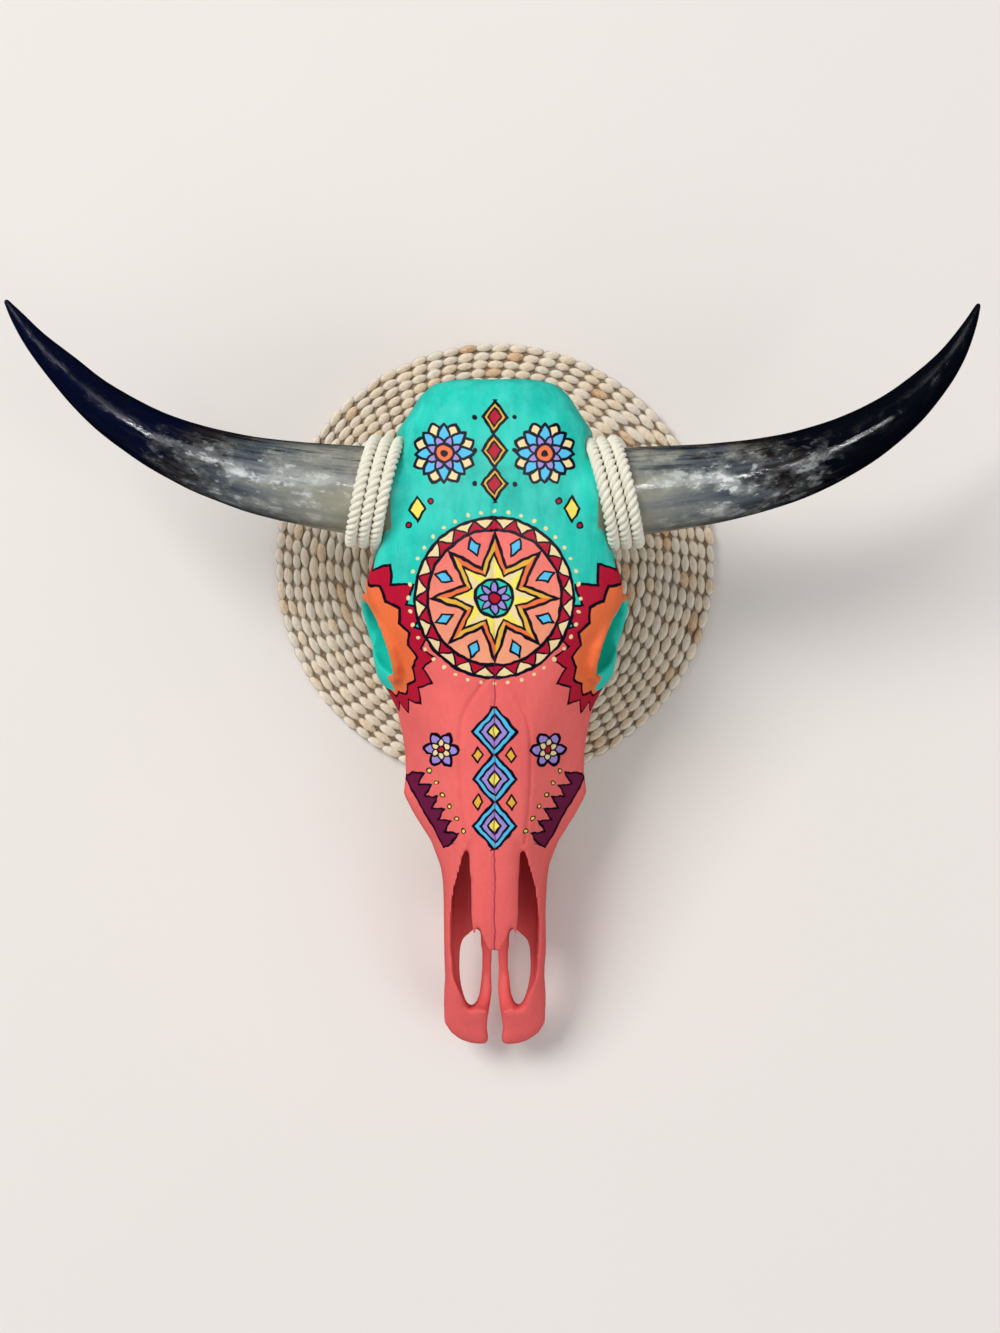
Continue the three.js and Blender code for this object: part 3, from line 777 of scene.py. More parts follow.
class PolishedHorn:
    """Polished horn: navy black at the tip, streaked and milky in the middle, and smoky at the foot."""

    black: Colour = tint(0.035, 0.035, 0.05)
    navy: Colour = tint(0.03, 0.05, 0.15)
    ink: Colour = tint(0.03, 0.04, 0.075)
    umber: Colour = tint(0.16, 0.14, 0.13)
    slate: Colour = tint(0.31, 0.34, 0.37)
    smoke: Colour = tint(0.52, 0.53, 0.51)
    olive: Colour = tint(0.66, 0.64, 0.55)
    milk: Colour = tint(0.86, 0.88, 0.87)

    def material(self, side: Side) -> bpy.types.Material:
        """Give the finish of one horn.

        Args:
            side: which horn, as each has its own streaks.

        Returns:
            The material.
        """
        board = Board(f"polished_horn_{side.word}")
        toward, high, along = board.parts(board.attribute("grain").outputs["Vector"])
        shift = 3.1 * side.value
        streaks = board.noise(board.vector(toward * 2.2 + shift, high * 2.2, along * 3.0), 1.6, 5.0, 0.62)
        fine = board.noise(board.vector(toward * 8.0, high * 8.0 + shift, along * 7.0), 2.0, 4.0, 0.62)
        clouds = board.noise(board.vector(toward * 1.3 + shift, high * 1.3, along * 11.0), 1.7, 4.0, 0.62)
        flecks = board.noise(board.vector(toward * 3.5, high * 3.5, along * 26.0 + shift), 1.6, 4.0, 0.7)
        # The dark runs further down the edge that looks towards the poll.
        dark = self.ink if side is Side.RIGHT else self.navy
        sooner = 0.05 if side is Side.RIGHT else 0.01
        reach = along + sooner + (streaks - 0.5) * 0.42 + toward.most(0.0) * 0.08 + (fine - 0.5) * 0.12
        stops = [(0.0, self.olive), (0.17, self.smoke), (0.3, self.slate), (0.39, self.umber), (0.46, dark)]
        body = board.ramp(reach.within(), stops)
        middle = (1.0 - abs(along - 0.23) * 4.2).within() * (1.25 - abs(toward + 0.2) * 1.2).within()
        cream = ((clouds - 0.47) * 7.0).within() * (1.0 - along * 2.8).within()
        body = board.mix(cream * 0.7, body, self.olive)
        haze = ((clouds * 1.2 + streaks * 0.5 - 0.8) * 3.0).within() * middle
        body = board.mix(haze * 0.45, body, self.milk)
        milky = ((flecks * 1.2 + clouds * 0.9 - 1.13) * 7.0).within() * middle
        body = board.mix(milky * 0.95, body, self.milk)
        stripes = ((fine + streaks * 0.9 - 0.98) * 6.0).within() * ((toward - 0.1) * 1.9).within()
        body = board.mix(stripes * 0.8 * (1.0 - milky), body, self.black)
        # Painted shade: the horn darkens towards black along both its edges as seen from above, less so near
        # its foot.
        edge_shade = (abs(toward) * 6.0 - 4.9).within() * 0.6
        body = board.mix(edge_shade * (along * 4.0 + 0.45).within(), body, self.black)
        body = board.shaded(body, fine, 0.16)
        board.raise_surface(fine * 0.4 + flecks * 0.6, 0.0004, 0.7)
        worn = ((clouds - 0.46) * 7.0).within()
        return board.finish(Base_Color=body, Roughness=worn * 0.26 + 0.07, IOR=1.5)


class CottonRope:
    """Soft ivory cotton in twisted strands of fine fibres."""

    light: Colour = tint(1.0, 0.985, 0.92)
    dark: Colour = tint(0.93, 0.90, 0.81)

    def material(self) -> bpy.types.Material:
        """Give the finish, whose fibres run along each strand."""
        board = Board("cotton_rope")
        round_x, round_y, along = board.parts(board.attribute("fibre").outputs["Vector"])
        threads = board.noise(board.vector(round_x * 6.0, round_y * 6.0, along * 90.0), 1.2, 4.0, 0.7)
        soft = board.noise(board.spot(), 130.0, 2.0)
        share = (threads * 1.5 + soft * 0.5 - 0.38).within()
        colour = board.mix(share, self.dark, self.light)
        board.raise_surface(threads, 0.0006)
        return board.finish(
            Base_Color=colour, Roughness=0.9, Sheen_Weight=0.25, Sheen_Roughness=0.5, Specular_IOR_Level=0.2
        )


class WovenHusk:
    """Dry plaited husk: pale strips with tan and brown patches and fine creases."""

    pale: Colour = tint(1.0, 0.975, 0.92)
    straw: Colour = tint(1.0, 0.93, 0.82)
    tan: Colour = tint(0.90, 0.75, 0.585)
    brown: Colour = tint(0.36, 0.26, 0.18)

    def material(self) -> bpy.types.Material:
        """Give the finish, which reads each stitch's own tone and its creases."""
        board = Board("woven_husk")
        across, high, along = board.parts(board.attribute("husk").outputs["Vector"])
        tone = Value(board, board.attribute("tone").outputs["Fac"])
        spot = board.spot()
        folds = board.noise(board.vector(across * 2.4, high * 2.4 + tone * 40.0, along * 0.5), 1.5, 3.0, 0.6)
        blotch = board.noise(spot, 70.0, 3.0, 0.6)
        husks = board.noise(board.vector(across * 3.4, high * 3.4 + tone * 50.0, along * 0.7), 1.3, 3.0, 0.6)
        share = (tone * 0.7 + (blotch - 0.5) * 0.6 + (husks - 0.5) * 0.55 + 0.06).within()
        colour = board.ramp(share, [(0.0, self.pale), (0.5, self.straw), (0.78, self.tan), (1.0, self.brown)])
        tucked = ((along - 0.55) * 2.2).within() * 0.35
        colour = board.mix(tucked, colour, self.tan)
        lines = board.noise(board.vector(across * 4.5, high * 4.5 + tone * 60.0, along * 0.4), 1.6, 2.0, 0.7)
        colour = board.mix(((lines - 0.57) * 5.0).within() * 0.3, colour, self.brown)
        colour = board.shaded(colour, folds, 0.14)
        # Painted shade: whatever lies near the core's height, in the gaps and low on each stitch's sides, is
        # darkened towards brown.
        gap_shade = (1.0 - abs(board.parts(spot)[2] - 0.006) * 320.0).within()
        colour = board.mix(gap_shade * 0.8, colour, self.brown)
        board.raise_surface(folds, 0.0022, 0.9)
        return board.finish(Base_Color=colour, Roughness=0.82, Specular_IOR_Level=0.25)


class PaleWall:
    """A plain pale painted wall."""

    shade: Colour = tint(0.93, 0.903, 0.878)

    def material(self) -> bpy.types.Material:
        """Give the finish."""
        board = Board("pale_wall")
        colour = board.shaded(self.shade, board.noise(board.spot(), 3.0, 2.0), 0.01)
        return board.finish(Base_Color=colour, Roughness=0.9, Specular_IOR_Level=0.1)


# Sub-assemblies


@dataclass
class PaintedSkull:
    """The skull: the fine surface of the bone, with its seams, pits and gentle unevenness."""

    voxel: float = 0.0017
    first_smooth: int = 5
    broad_smooth: int = 36
    toe_smooth: int = 40
    seam_depth: float = 1.7
    seam_width: float = 1.3
    most_triangles: int = 190_000
    skin: float = 0.8
    cover_passes: int = 3
    row: ToothRow = ToothRow()
    socket: EyeSocket = EyeSocket()
    midline: list[tuple[float, float]] = field(
        default_factory=lambda: [
            (0.4, 40.0), (-0.6, 18.0), (0.5, 0.0), (-0.5, -24.0), (0.4, -52.0), (-0.3, -90.0), (0.3, -140.0),
            (-0.2, -200.0), (0.2, -260.0), (0.0, -326.0),
        ]
    )
    side_seam: list[tuple[float, float]] = field(
        default_factory=lambda: [
            (3.0, -96.0), (12.0, -107.0), (21.0, -120.0), (27.0, -136.0), (29.0, -160.0), (28.5, -190.0),
            (26.5, -214.0), (24.5, -232.0),
        ]
    )

    def build(self) -> bpy.types.Object:
        """Model the bone's surface.

        Returns:
            The finished object.
        """
        bone = linked("painted_skull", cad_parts["skull"].data.copy())
        with editing(bone):
            bpy.ops.mesh.remove_doubles(threshold=1e-5)
        modified(bone, "REMESH", mode="VOXEL", voxel_size=self.voxel, adaptivity=0.0)
        modified(bone, "SMOOTH", factor=0.5, iterations=self.first_smooth)
        self.soften(bone)
        points = points_of(bone.data)
        directions = normals_of(bone.data)
        depth = self.unevenness(points) - self.seams(points, directions) - self.teeth(points, directions)
        move_points(bone.data, points + directions * depth[:, None])
        modified(bone, "DECIMATE", ratio=min(1.0, self.most_triangles / (2 * len(bone.data.polygons))))
        self.mark_cover(bone.data)
        return bone

    def mark_cover(self, mesh: bpy.types.Mesh) -> None:
        """Keep which points a brush could reach from above, and which ones lie on the underside."""
        points, directions = points_of(mesh), normals_of(mesh)
        slope = directions[:, 2]
        tree = BVHTree.FromPolygons(points.tolist(), [tuple(face.vertices) for face in mesh.polygons])
        roof = np.zeros(len(points))
        for i in np.nonzero(slope > 0.02)[0]:
            start = Vector((points[i] + directions[i] * self.skin).tolist())
            roof[i] = tree.ray_cast(start, Vector((0.0, 0.0, 1.0)))[0] is None
        under = (slope < -0.3) | ((roof < 0.5) & (slope > 0.3))
        cover = np.stack([roof, under, np.zeros(len(points))], 1)
        ends = np.array([edge.vertices[:] for edge in mesh.edges])
        ends = np.vstack([ends, ends[:, ::-1]])
        shares = np.bincount(ends[:, 0], minlength=len(points))[:, None] + 1
        for _ in range(self.cover_passes):
            total = cover.copy()
            np.add.at(total, ends[:, 0], cover[ends[:, 1]])
            cover = total / shares
        stored(mesh, "cover", cover)

    def soften(self, bone: bpy.types.Object) -> None:
        """Smooth the broad bone well, and the rims, tips and teeth hardly at all."""
        points = points_of(bone.data)
        wide, y, z = np.abs(points[:, 0]), points[:, 1], points[:, 2]
        socket = self.socket
        from_eye = np.stack([wide, y, z], 1) - np.array(socket.middle)
        up, forward = from_eye @ np.array(socket.up), from_eye @ np.array(socket.forward)
        out = from_eye @ np.cross(socket.up, socket.forward)
        eye_rim = np.hypot(np.hypot(up, forward) - socket.radius, out)
        toe = np.clip((-y - 364) / 8, 0, 1) * 0.9
        nose_rim = np.maximum(np.clip((y + 262) / 40, np.where(wide > 17, 0.8, 0.4), 1), toe)
        nose_tips = np.where((y < -288) & (z > 84) & (wide < 20), 0.15, 1)
        weights = np.clip((eye_rim - 6) / 12, 0.16, 1) * nose_rim * nose_tips * np.clip((z - 26) / 12, 0.1, 1)
        self.smoothed(bone, weights, self.broad_smooth)
        # The bars of the palate run out into the toe without a ledge.
        y, z = points_of(bone.data)[:, 1:].T
        self.smoothed(bone, np.exp(-(((y + 377) / 8) ** 2)) * np.clip((z - 24) / 8, 0, 1), self.toe_smooth)

    def smoothed(self, bone: bpy.types.Object, weights: np.ndarray, passes: int) -> None:
        """Smooth the bone more or less from point to point.

        Args:
            bone: the object.
            weights: how much each point is smoothed, from 0 to 1.
            passes: the number of times.
        """
        group = bone.vertex_groups.new(name="smoothed")
        levels = np.round(weights, 1)
        for level in np.unique(levels[levels > 0]):
            group.add(np.nonzero(levels == level)[0].tolist(), float(level), "REPLACE")
        modified(bone, "SMOOTH", factor=0.5, iterations=passes, vertex_group=group.name)
        bone.vertex_groups.clear()

    def unevenness(self, points: np.ndarray) -> np.ndarray:
        """The gentle lumps and small pits of natural bone, in millimetres along the normal."""
        lumps = cloudy(points, 34.0) * 0.55 + cloudy(points, 11.0, 7.0) * 0.16
        pits = np.clip(cloudy(points, 6.5, 13.0) - 0.42, 0, 1) * 2.2
        where = np.clip(cloudy(points, 40.0, 21.0) * 2.0, 0, 1)
        return lumps - pits * where

    def teeth(self, points: np.ndarray, directions: np.ndarray) -> np.ndarray:
        """The grooves between the cheek teeth and down their faces, in millimetres."""
        row, y = self.row, points[:, 1]
        tooth = (y - row.first) / row.width
        between = np.abs(tooth - np.round(tooth)) * row.width
        lobe = np.abs(tooth - np.floor(tooth) - 0.5) * row.width
        grooves = np.exp(-((between / 1.5) ** 2)) * 2.2 + np.exp(-((lobe / 2.2) ** 2)) * 0.9
        inside = (y > row.first + 4) & (y < row.last - 4) & (np.abs(directions[:, 2]) < 0.8)
        return grooves * inside * np.clip((row.gum - points[:, 2]) / 4, 0, 1)

    def seams(self, points: np.ndarray, directions: np.ndarray) -> np.ndarray:
        """The grooves where the skull's bones meet on its roof, in millimetres."""
        total = np.zeros(len(points))
        roof = np.clip(directions[:, 2] * 2, 0, 1)
        for mirror in (1.0, -1.0):
            for line in (self.midline, self.side_seam) if mirror > 0 else (self.side_seam,):
                path = smooth_line(line, 8) * np.array([mirror, 1.0])
                steps = np.diff(path, axis=0)
                near = np.full(len(points), 1e9)
                for start, step in zip(path[:-1], steps):
                    offset = points[:, :2] - start
                    share = np.clip((offset @ step) / (step @ step), 0, 1)
                    gap = offset - share[:, None] * step
                    near = np.minimum(near, np.hypot(gap[:, 0], gap[:, 1]))
                total = np.maximum(total, np.exp(-((near / self.seam_width) ** 2)) * self.seam_depth)
        return total * roof


@dataclass
class Horn:
    """One horn: a long tapering curve with a round foot under the rope."""

    side: Side
    knots: list[tuple[float, float, float, float]]
    sides: int = 40
    per_gap: int = 4
    foot: float = 8.0

    def build(self) -> bpy.types.Object:
        """Model the horn from a ring at its foot, drawn out ring by ring to the tip.

        Returns:
            The finished object.
        """
        line = smooth_line(self.knots, self.per_gap)
        axis = foot_axis(self.side)
        along = (line[:, :3] - line[0, :3]) @ axis
        begin = int(np.searchsorted(along, self.foot))
        share = (self.foot - along[begin - 1]) / (along[begin] - along[begin - 1])
        first = line[begin - 1] + share * (line[begin] - line[begin - 1])
        line = np.vstack([first, line[begin:]])
        centres, radii = line[:, :3], line[:, 3]
        ahead = np.gradient(centres, axis=0)
        ahead /= np.linalg.norm(ahead, axis=1)[:, None]
        ahead[0] = axis
        turn = Vector((0, 0, 1)).rotation_difference(Vector(axis)).to_euler()
        horn = added(
            bpy.ops.mesh.primitive_circle_add,
            f"polished_horn_{self.side.word}",
            vertices=self.sides,
            radius=radii[0] * MM,
            fill_type="NGON",
            location=(centres[0] * MM).tolist(),
            rotation=tuple(turn),
        )
        settled(horn)
        with editing(horn):
            for i in range(1, len(centres)):
                step = (centres[i] - centres[i - 1]) * MM
                bpy.ops.mesh.extrude_region_move(TRANSFORM_OT_translate={"value": step.tolist()})
                pivot = (centres[i] * MM).tolist()
                scale = radii[i] / radii[i - 1]
                bpy.ops.transform.resize(value=(scale, scale, scale), center_override=pivot)
                self.swing(ahead[i - 1], ahead[i], pivot)
            bpy.ops.mesh.select_all(action="SELECT")
            bpy.ops.mesh.normals_make_consistent(inside=False)
        modified(horn, "SUBSURF", levels=1, render_levels=1)
        self.weather(horn, centres)
        return horn

    def swing(self, before: np.ndarray, after: np.ndarray, pivot: list[float]) -> None:
        """Turn the selected ring about a point from one direction to the next."""
        turn = Vector(before.tolist()).rotation_difference(Vector(after.tolist())).to_euler("XYZ")
        for axis, angle in zip("XYZ", turn):
            if abs(angle) > 1e-6:
                # With no window the operator turns the other way.
                bpy.ops.transform.rotate(value=-angle, orient_axis=axis, center_override=pivot)

    def weather(self, horn: bpy.types.Object, centres: np.ndarray) -> None:
        """Add the slight waves of a natural horn, and keep each point's place along and round it."""
        fine = smooth_line([tuple(row) for row in centres], 6)
        points = points_of(horn.data)
        nearest = np.array([np.argmin(((fine - point) ** 2).sum(1)) for point in points])
        offset = points - fine[nearest]
        ahead = np.gradient(fine, axis=0)[nearest]
        toward = np.cross([0, 0, 1], ahead) * self.side.value
        toward /= np.linalg.norm(toward, axis=1)[:, None]
        angle = np.arctan2(offset[:, 2], (offset * toward).sum(1))
        along = nearest / (len(fine) - 1)
        waves = cloudy(points, 30.0, 3.0) * 0.5
        rings = np.sin(along * 150) * 0.12 * np.clip(1 - along * 4, 0, 1)
        fade = np.clip((1 - along) * 5, 0, 1)
        move_points(horn.data, points + normals_of(horn.data) * ((waves + rings) * fade)[:, None])
        stored(horn.data, "grain", np.stack([np.cos(angle), np.sin(angle), along], 1))


@dataclass
class RopeLashing:
    """Three turns of three-strand rope about the foot of a horn."""

    side: Side
    start: Point
    turns: int = 3
    pitch: float = 9.6
    radius: float = 40.9
    first: float = -8.3
    slope: float = 0.1
    lay_length: float = 18.0
    strand_radius: float = 2.7
    strand_offset: float = 2.3
    strand_sides: int = 12
    steps_per_lay: int = 15
    points_per_turn: int = 32

    def route(self) -> np.ndarray:
        """The rope's middle line, in millimetres."""
        axis = foot_axis(self.side)
        across = np.cross([0, 0, self.side.value], axis)
        across /= np.linalg.norm(across)
        share = np.linspace(0, 1, self.turns * self.points_per_turn + 1)
        angle = 2 * math.pi * self.turns * share - math.pi / 2
        out = self.first + self.turns * self.pitch * share - self.slope * self.radius * np.cos(angle)
        ring = np.outer(np.cos(angle), across) + np.outer(np.sin(angle), [0, 0, 1])
        return np.array(self.start) + np.outer(out, axis) + ring * self.radius

    def build(self) -> bpy.types.Object:
        """Model one lay of the rope, repeat it, and bend it along its route.

        Returns:
            The finished object.
        """
        route = self.route()
        span = np.linalg.norm(np.diff(route, axis=0), axis=1).sum()
        rope = self.straight(math.ceil(span / self.lay_length), span)
        self.mark_fibres(rope)
        guide = self.guide(route)
        modified(rope, "CURVE", object=guide, deform_axis="POS_X")
        bpy.data.objects.remove(guide)
        return rope

    def straight(self, lays: int, span: float) -> bpy.types.Object:
        """Model the rope straight along X.

        Args:
            lays: how many full twists it has.
            span: its length in millimetres, to which the lays are drawn out.

        Returns:
            The straight rope.
        """
        strands = []
        offset = self.strand_offset * MM
        for i in range(3):
            turn = 2 * math.pi * i / 3
            strand = added(
                bpy.ops.mesh.primitive_circle_add,
                f"strand_{i}",
                vertices=self.strand_sides,
                radius=self.strand_radius * MM,
                fill_type="NOTHING",
                location=(0, offset * math.cos(turn), offset * math.sin(turn)),
                rotation=(0, math.pi / 2, 0),
            )
            settled(strand)
            strands.append(strand)
        only(strands[0])
        for strand in strands:
            strand.select_set(True)
        bpy.ops.object.join()
        rope = bpy.context.object
        rope.name = rope.data.name = f"cotton_rope_{self.side.word}"
        lay = span / lays * MM
        steps = {"steps": self.steps_per_lay, "render_steps": self.steps_per_lay, "use_merge_vertices": False}
        modified(rope, "SCREW", axis="X", angle=2 * math.pi, screw_offset=lay, **steps)
        offset = {"use_constant_offset": True, "constant_offset_displace": (lay, 0, 0)}
        merge = {"use_merge_vertices": True, "merge_threshold": 1e-5}
        modified(rope, "ARRAY", count=lays, use_relative_offset=False, **offset, **merge)
        with editing(rope):
            bpy.ops.mesh.select_all(action="DESELECT")
            bpy.ops.mesh.select_mode(type="EDGE")
            bpy.ops.mesh.select_non_manifold(extend=False)
            bpy.ops.mesh.fill_holes(sides=0)
            bpy.ops.mesh.select_all(action="SELECT")
            bpy.ops.mesh.normals_make_consistent(inside=False)
        return rope

    def mark_fibres(self, rope: bpy.types.Object) -> None:
        """Keep each point's place round its own strand and along the rope."""
        points = points_of(rope.data)
        span = points[:, 0].max()
        lays = round(span / self.lay_length)
        twist = 2 * math.pi * points[:, 0] / span * lays
        best = np.full(len(points), 1e9)
        fibre = np.zeros((len(points), 3))
        for sign in (1.0, -1.0):
            for i in range(3):
                turn = 2 * math.pi * i / 3 + sign * twist
                middle = self.strand_offset * np.stack([np.cos(turn), np.sin(turn)], 1)
                offset = points[:, 1:] - middle
                error = np.abs(np.hypot(offset[:, 0], offset[:, 1]) - self.strand_radius)
                angle = np.arctan2(offset[:, 1], offset[:, 0])
                better = error < best - 1e-3
                best = np.where(better, error, best)
                made = np.stack([np.cos(angle) + i, np.sin(angle), points[:, 0] * MM], 1)
                fibre = np.where(better[:, None], made, fibre)
        stored(rope.data, "fibre", fibre)

    def guide(self, route: np.ndarray) -> bpy.types.Object:
        """The curve that the rope is bent along."""
        curve = bpy.data.curves.new("guide", "CURVE")
        curve.dimensions = "3D"
        curve.twist_mode = "MINIMUM"
        spline = curve.splines.new("POLY")
        spline.points.add(len(route) - 1)
        for point, place in zip(spline.points, route * MM):
            point.co = (*place, 1.0)
        return linked("guide", curve)


@dataclass
class WovenMat:
    """A round mat of plaited husk: courses of plump stitches on a core, which painted shade makes dark in the
    gaps.
    """

    radius: float = 190.0
    thickness: float = 12.0
    courses: int = 26
    stitch_length: float = 14.6
    overlap: float = 1.26
    slant: float = 0.1
    drift: float = 0.16
    seed: int = 11

    def layout(self, draw: np.random.Generator) -> list[tuple[float, np.ndarray]]:
        """Set out where the stitches of each course begin and end.

        A course follows the one outside it, and drops a stitch here and there as it gets shorter.

        Args:
            draw: the source of random numbers.

        Returns:
            For each course from the rim inwards, its radius and the angles between its stitches.
        """
        pitch = self.radius / self.courses
        rows = []
        cuts = np.zeros(0)
        for course in range(self.courses - 1, -1, -1):
            middle = pitch * (course + 0.5)
            count = max(3, round(2 * math.pi * middle / self.stitch_length))
            if len(cuts) == 0:
                cuts = np.arange(count) * 2 * math.pi / count
            dropped = len(cuts) - count
            if dropped > 0:
                places = (np.arange(dropped) + draw.uniform(0.1, 0.9, dropped)) * len(cuts) / dropped
                cuts = np.delete(cuts, np.unique(places.astype(int) % len(cuts)))
            for _ in range(5):
                before, after = np.roll(cuts, 1), np.roll(cuts, -1)
                before[0] -= 2 * math.pi
                after[-1] += 2 * math.pi
                cuts = cuts + 0.35 * ((before + after) / 2 - cuts)
            step = 2 * math.pi / len(cuts)
            cuts = cuts + self.drift * step
            rows.append((middle, cuts + draw.uniform(-0.05, 0.05, len(cuts)) * step))
        return rows

    def stitch(self) -> bpy.types.Object:
        """Model one stitch of half length one along Y: a spindle with blunt ends."""
        turn = (math.pi / 2, 0, 0)
        make = bpy.ops.mesh.primitive_uv_sphere_add
        spindle = added(make, "stitch", segments=8, ring_count=8, radius=1.0, rotation=turn)
        settled(spindle)
        return spindle

    def build(self) -> bpy.types.Object:
        """Lay copies of the stitch course by course.

        Returns:
            The finished object.
        """
        spindle = self.stitch()
        shape = points_of(spindle.data) * MM
        faces = [tuple(face.vertices) for face in spindle.data.polygons]
        bpy.data.objects.remove(spindle)
        # A grain with blunt sides and one end leaner than the other.
        shape[:, [0, 2]] *= 1 - 0.3 * np.clip(shape[:, 1:2], 0, 1) - 0.06 * np.clip(-shape[:, 1:2], 0, 1)
        draw = np.random.default_rng(self.seed)
        pitch = self.radius / self.courses
        points, tones, husks, all_faces = [], [], [], []
        for middle, cuts in self.layout(draw):
            ends = np.append(cuts[1:], cuts[0] + 2 * math.pi)
            for start, end in zip(cuts, ends):
                wide = pitch / 2 * draw.uniform(1.04, 1.32)
                tall = self.thickness / 2 * draw.uniform(0.8, 1.0)
                long = (end - start) / 2 * middle * self.overlap * draw.uniform(0.93, 1.05)
                slant = self.slant + draw.uniform(-0.12, 0.12)
                local = shape * np.array([wide, long, tall])
                local[:, 2] -= 1.5 * np.clip(shape[:, 1], 0, 1) ** 2
                x = local[:, 0] * math.cos(slant) - local[:, 1] * math.sin(slant)
                y = local[:, 0] * math.sin(slant) + local[:, 1] * math.cos(slant)
                # The stitch follows its course round the mat.
                out = np.clip(middle + x + draw.uniform(-0.4, 0.4), 0.4, self.radius)
                at = (start + end) / 2 + (y / middle if middle > 12 else np.arctan2(y, middle))
                base = len(points) * len(shape)
                high = np.clip(local[:, 2] + self.thickness / 2 + draw.uniform(-0.4, 0.4), 0, self.thickness)
                points.append(np.stack([out * np.cos(at), out * np.sin(at), high], 1))
                tone = draw.beta(1.5, 4.2) if draw.uniform() > 0.08 else draw.uniform(0.6, 1.0)
                tones.append(np.full(len(shape), tone))
                husks.append(shape)
                all_faces += [tuple(base + k for k in face) for face in faces]
        mesh = bpy.data.meshes.new("plaited_mat")
        mesh.from_pydata((np.concatenate(points) * MM).tolist(), [], all_faces)
        stored(mesh, "tone", np.concatenate(tones))
        stored(mesh, "husk", np.concatenate(husks))
        return self.with_core(linked("plaited_mat", mesh))

    def with_core(self, mat: bpy.types.Object) -> bpy.types.Object:
        """Add the flat core that closes the gaps between the stitches."""
        core = added(
            bpy.ops.mesh.primitive_cylinder_add,
            "mat_core",
            vertices=128,
            radius=(self.radius - 4.5) * MM,
            depth=self.thickness * 0.3 * MM,
            location=(0, 0, self.thickness * 0.4 * MM),
        )
        settled(core)
        stored(core.data, "tone", np.full(len(core.data.vertices), 0.9))
        stored(core.data, "husk", points_of(core.data) * 0.1)
        only(mat)
        core.select_set(True)
        bpy.ops.object.join()
        return mat


@dataclass
class Studio:
    """The pale wall that the mat lies on, the soft lights, and the camera straight above."""

    camera_at: Point = (0.0043, -0.0894, 1.700)
    lens: float = 52.85
    sensor: float = 36.0
    looks_at: Point = (0.0, -0.05, 0.1)
    room_colour: Colour = tint(0.97, 0.98, 1.0)
    room_strength: float = 0.445

    def build(self) -> None:
        """Set up the wall, the lights, the surroundings and the camera."""
        floor = added(bpy.ops.mesh.primitive_plane_add, "studio_floor", size=8.0, location=(0, 0, -0.0005))
        settled(floor)
        floor.data.materials.append(PaleWall().material())
        floor.visible_glossy = False
        for name, at, size, watts, hidden_from in LAMPS:
            setattr(self.lamp(name, at, size, watts), hidden_from, False)
        self.surroundings()
        self.camera()
        scene = bpy.context.scene
        scene.view_settings.view_transform = "Standard"
        scene.view_settings.look = "None"

    def lamp(self, name: str, at: Point, size: float, watts: float) -> bpy.types.Object:
        """Add a soft square lamp that looks at the skull.

        Args:
            name: its name.
            at: where it hangs, in metres.
            size: its width in metres.
            watts: its power.

        Returns:
            The lamp.
        """
        light = bpy.data.lights.new(name, "AREA")
        light.size = size
        light.energy = watts
        lamp = linked(name, light)
        lamp.location = at
        lamp.rotation_euler = (Vector(self.looks_at) - Vector(at)).to_track_quat("-Z", "Y").to_euler()
        return lamp

    def surroundings(self) -> None:
        """Light the scene softly from all round."""
        world = bpy.data.worlds.new("soft_room")
        bpy.context.scene.world = world
        world.use_nodes = True
        world.cycles_visibility.glossy = False
        back = world.node_tree.nodes["Background"]
        back.inputs["Color"].default_value = self.room_colour
        back.inputs["Strength"].default_value = self.room_strength

    def camera(self) -> None:
        """Add the camera, straight above and looking down."""
        data = bpy.data.cameras.new("photo_camera")
        data.lens = self.lens
        data.sensor_width = self.sensor
        camera = linked("photo_camera", data)
        camera.location = self.camera_at
        bpy.context.scene.camera = camera


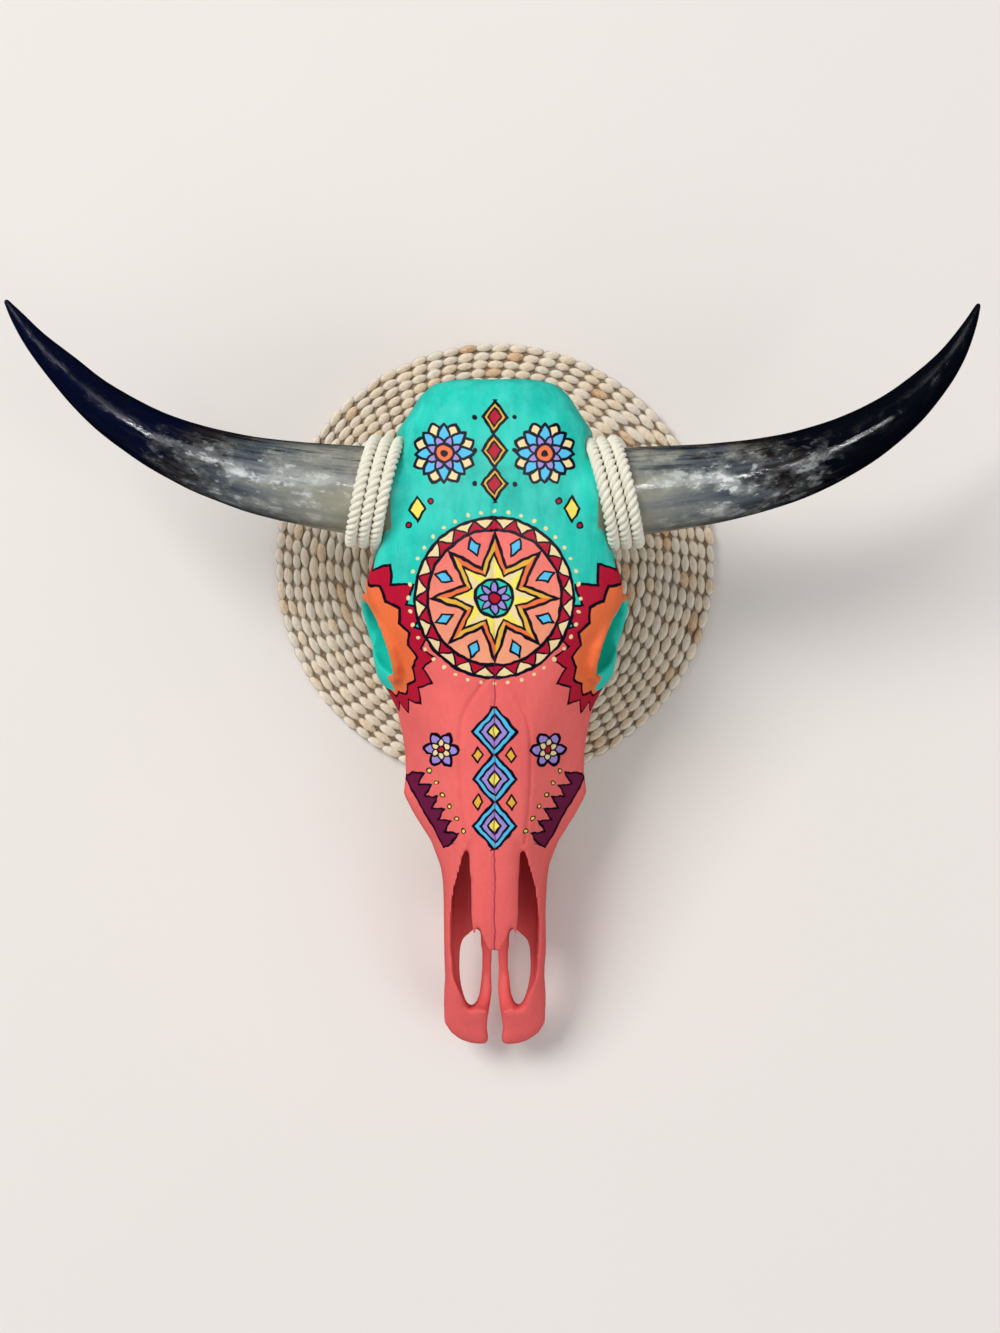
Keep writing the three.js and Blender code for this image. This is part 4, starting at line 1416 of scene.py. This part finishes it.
# Each lamp's name, place and width in metres, power in watts, and the rays that it is hidden from.
LAMPS: list[tuple[str, Point, float, float, str]] = [
    ("key_light", (-3.9, 3.3, 5.85), 3.5, 411.0, "visible_glossy"),
    ("fill_light", (3.6, -2.3, 4.0), 3.3, 60.0, "visible_glossy"),
    ("sheen_light", (-0.7, 0.9, 2.2), 0.9, 6.0, "visible_diffuse"),
    ("glint_light_left", (-0.33, 0.2, 1.95), 0.07, 3.2, "visible_diffuse"),
    ("glint_light_right", (0.33, 0.2, 1.95), 0.07, 3.2, "visible_diffuse"),
]

# The middle line of each horn from its foot to its tip: X, Y, Z and the radius, in millimetres.
HORN_KNOTS: dict[Side, list[tuple[float, float, float, float]]] = {
    Side.RIGHT: [
        (88, 47.5, 148, 35.4), (113, 49.8, 148, 35.2), (160, 54, 149, 32.6), (202, 60.5, 152, 29.6),
        (242, 70.5, 156, 26.2), (278, 85.5, 161, 22.6), (309, 104, 167, 18.8), (335, 126.5, 173, 14.6),
        (355, 150.5, 179, 10.1), (367.5, 173.5, 184, 5.6), (374.8, 191.5, 187, 1.6),
    ],
    Side.LEFT: [
        (-88, 48.5, 148, 35.5), (-116, 51.1, 148, 35.2), (-165, 57.5, 149, 32), (-208, 67, 152, 28.4),
        (-246, 80, 156, 24.6), (-279, 96.5, 161, 20.8), (-310, 117.5, 167, 17.2), (-336, 142, 173, 13.2),
        (-356, 163, 179, 9), (-369.5, 181, 184, 5.2), (-378.3, 194.2, 187, 1.6),
    ],
}


def main() -> None:
    """Build the camera and the room, then every piece in order."""
    logging.basicConfig(level=logging.INFO, format="%(name)s: %(message)s")
    Studio().build()
    handed_in(PaintedSkull().build(), "skull", SkullPaint().material())
    rope_finish = CottonRope().material()
    for side, knots in HORN_KNOTS.items():
        horn, rope = Horn(side, knots).build(), RopeLashing(side, knots[0][:3])
        handed_in(horn, f"horn_{side.word}", PolishedHorn().material(side))
        handed_in(rope.build(), f"rope_lashing_{side.word}", rope_finish)
    handed_in(WovenMat().build(), "woven_mat", WovenHusk().material())


if __name__ == "__main__":
    main()
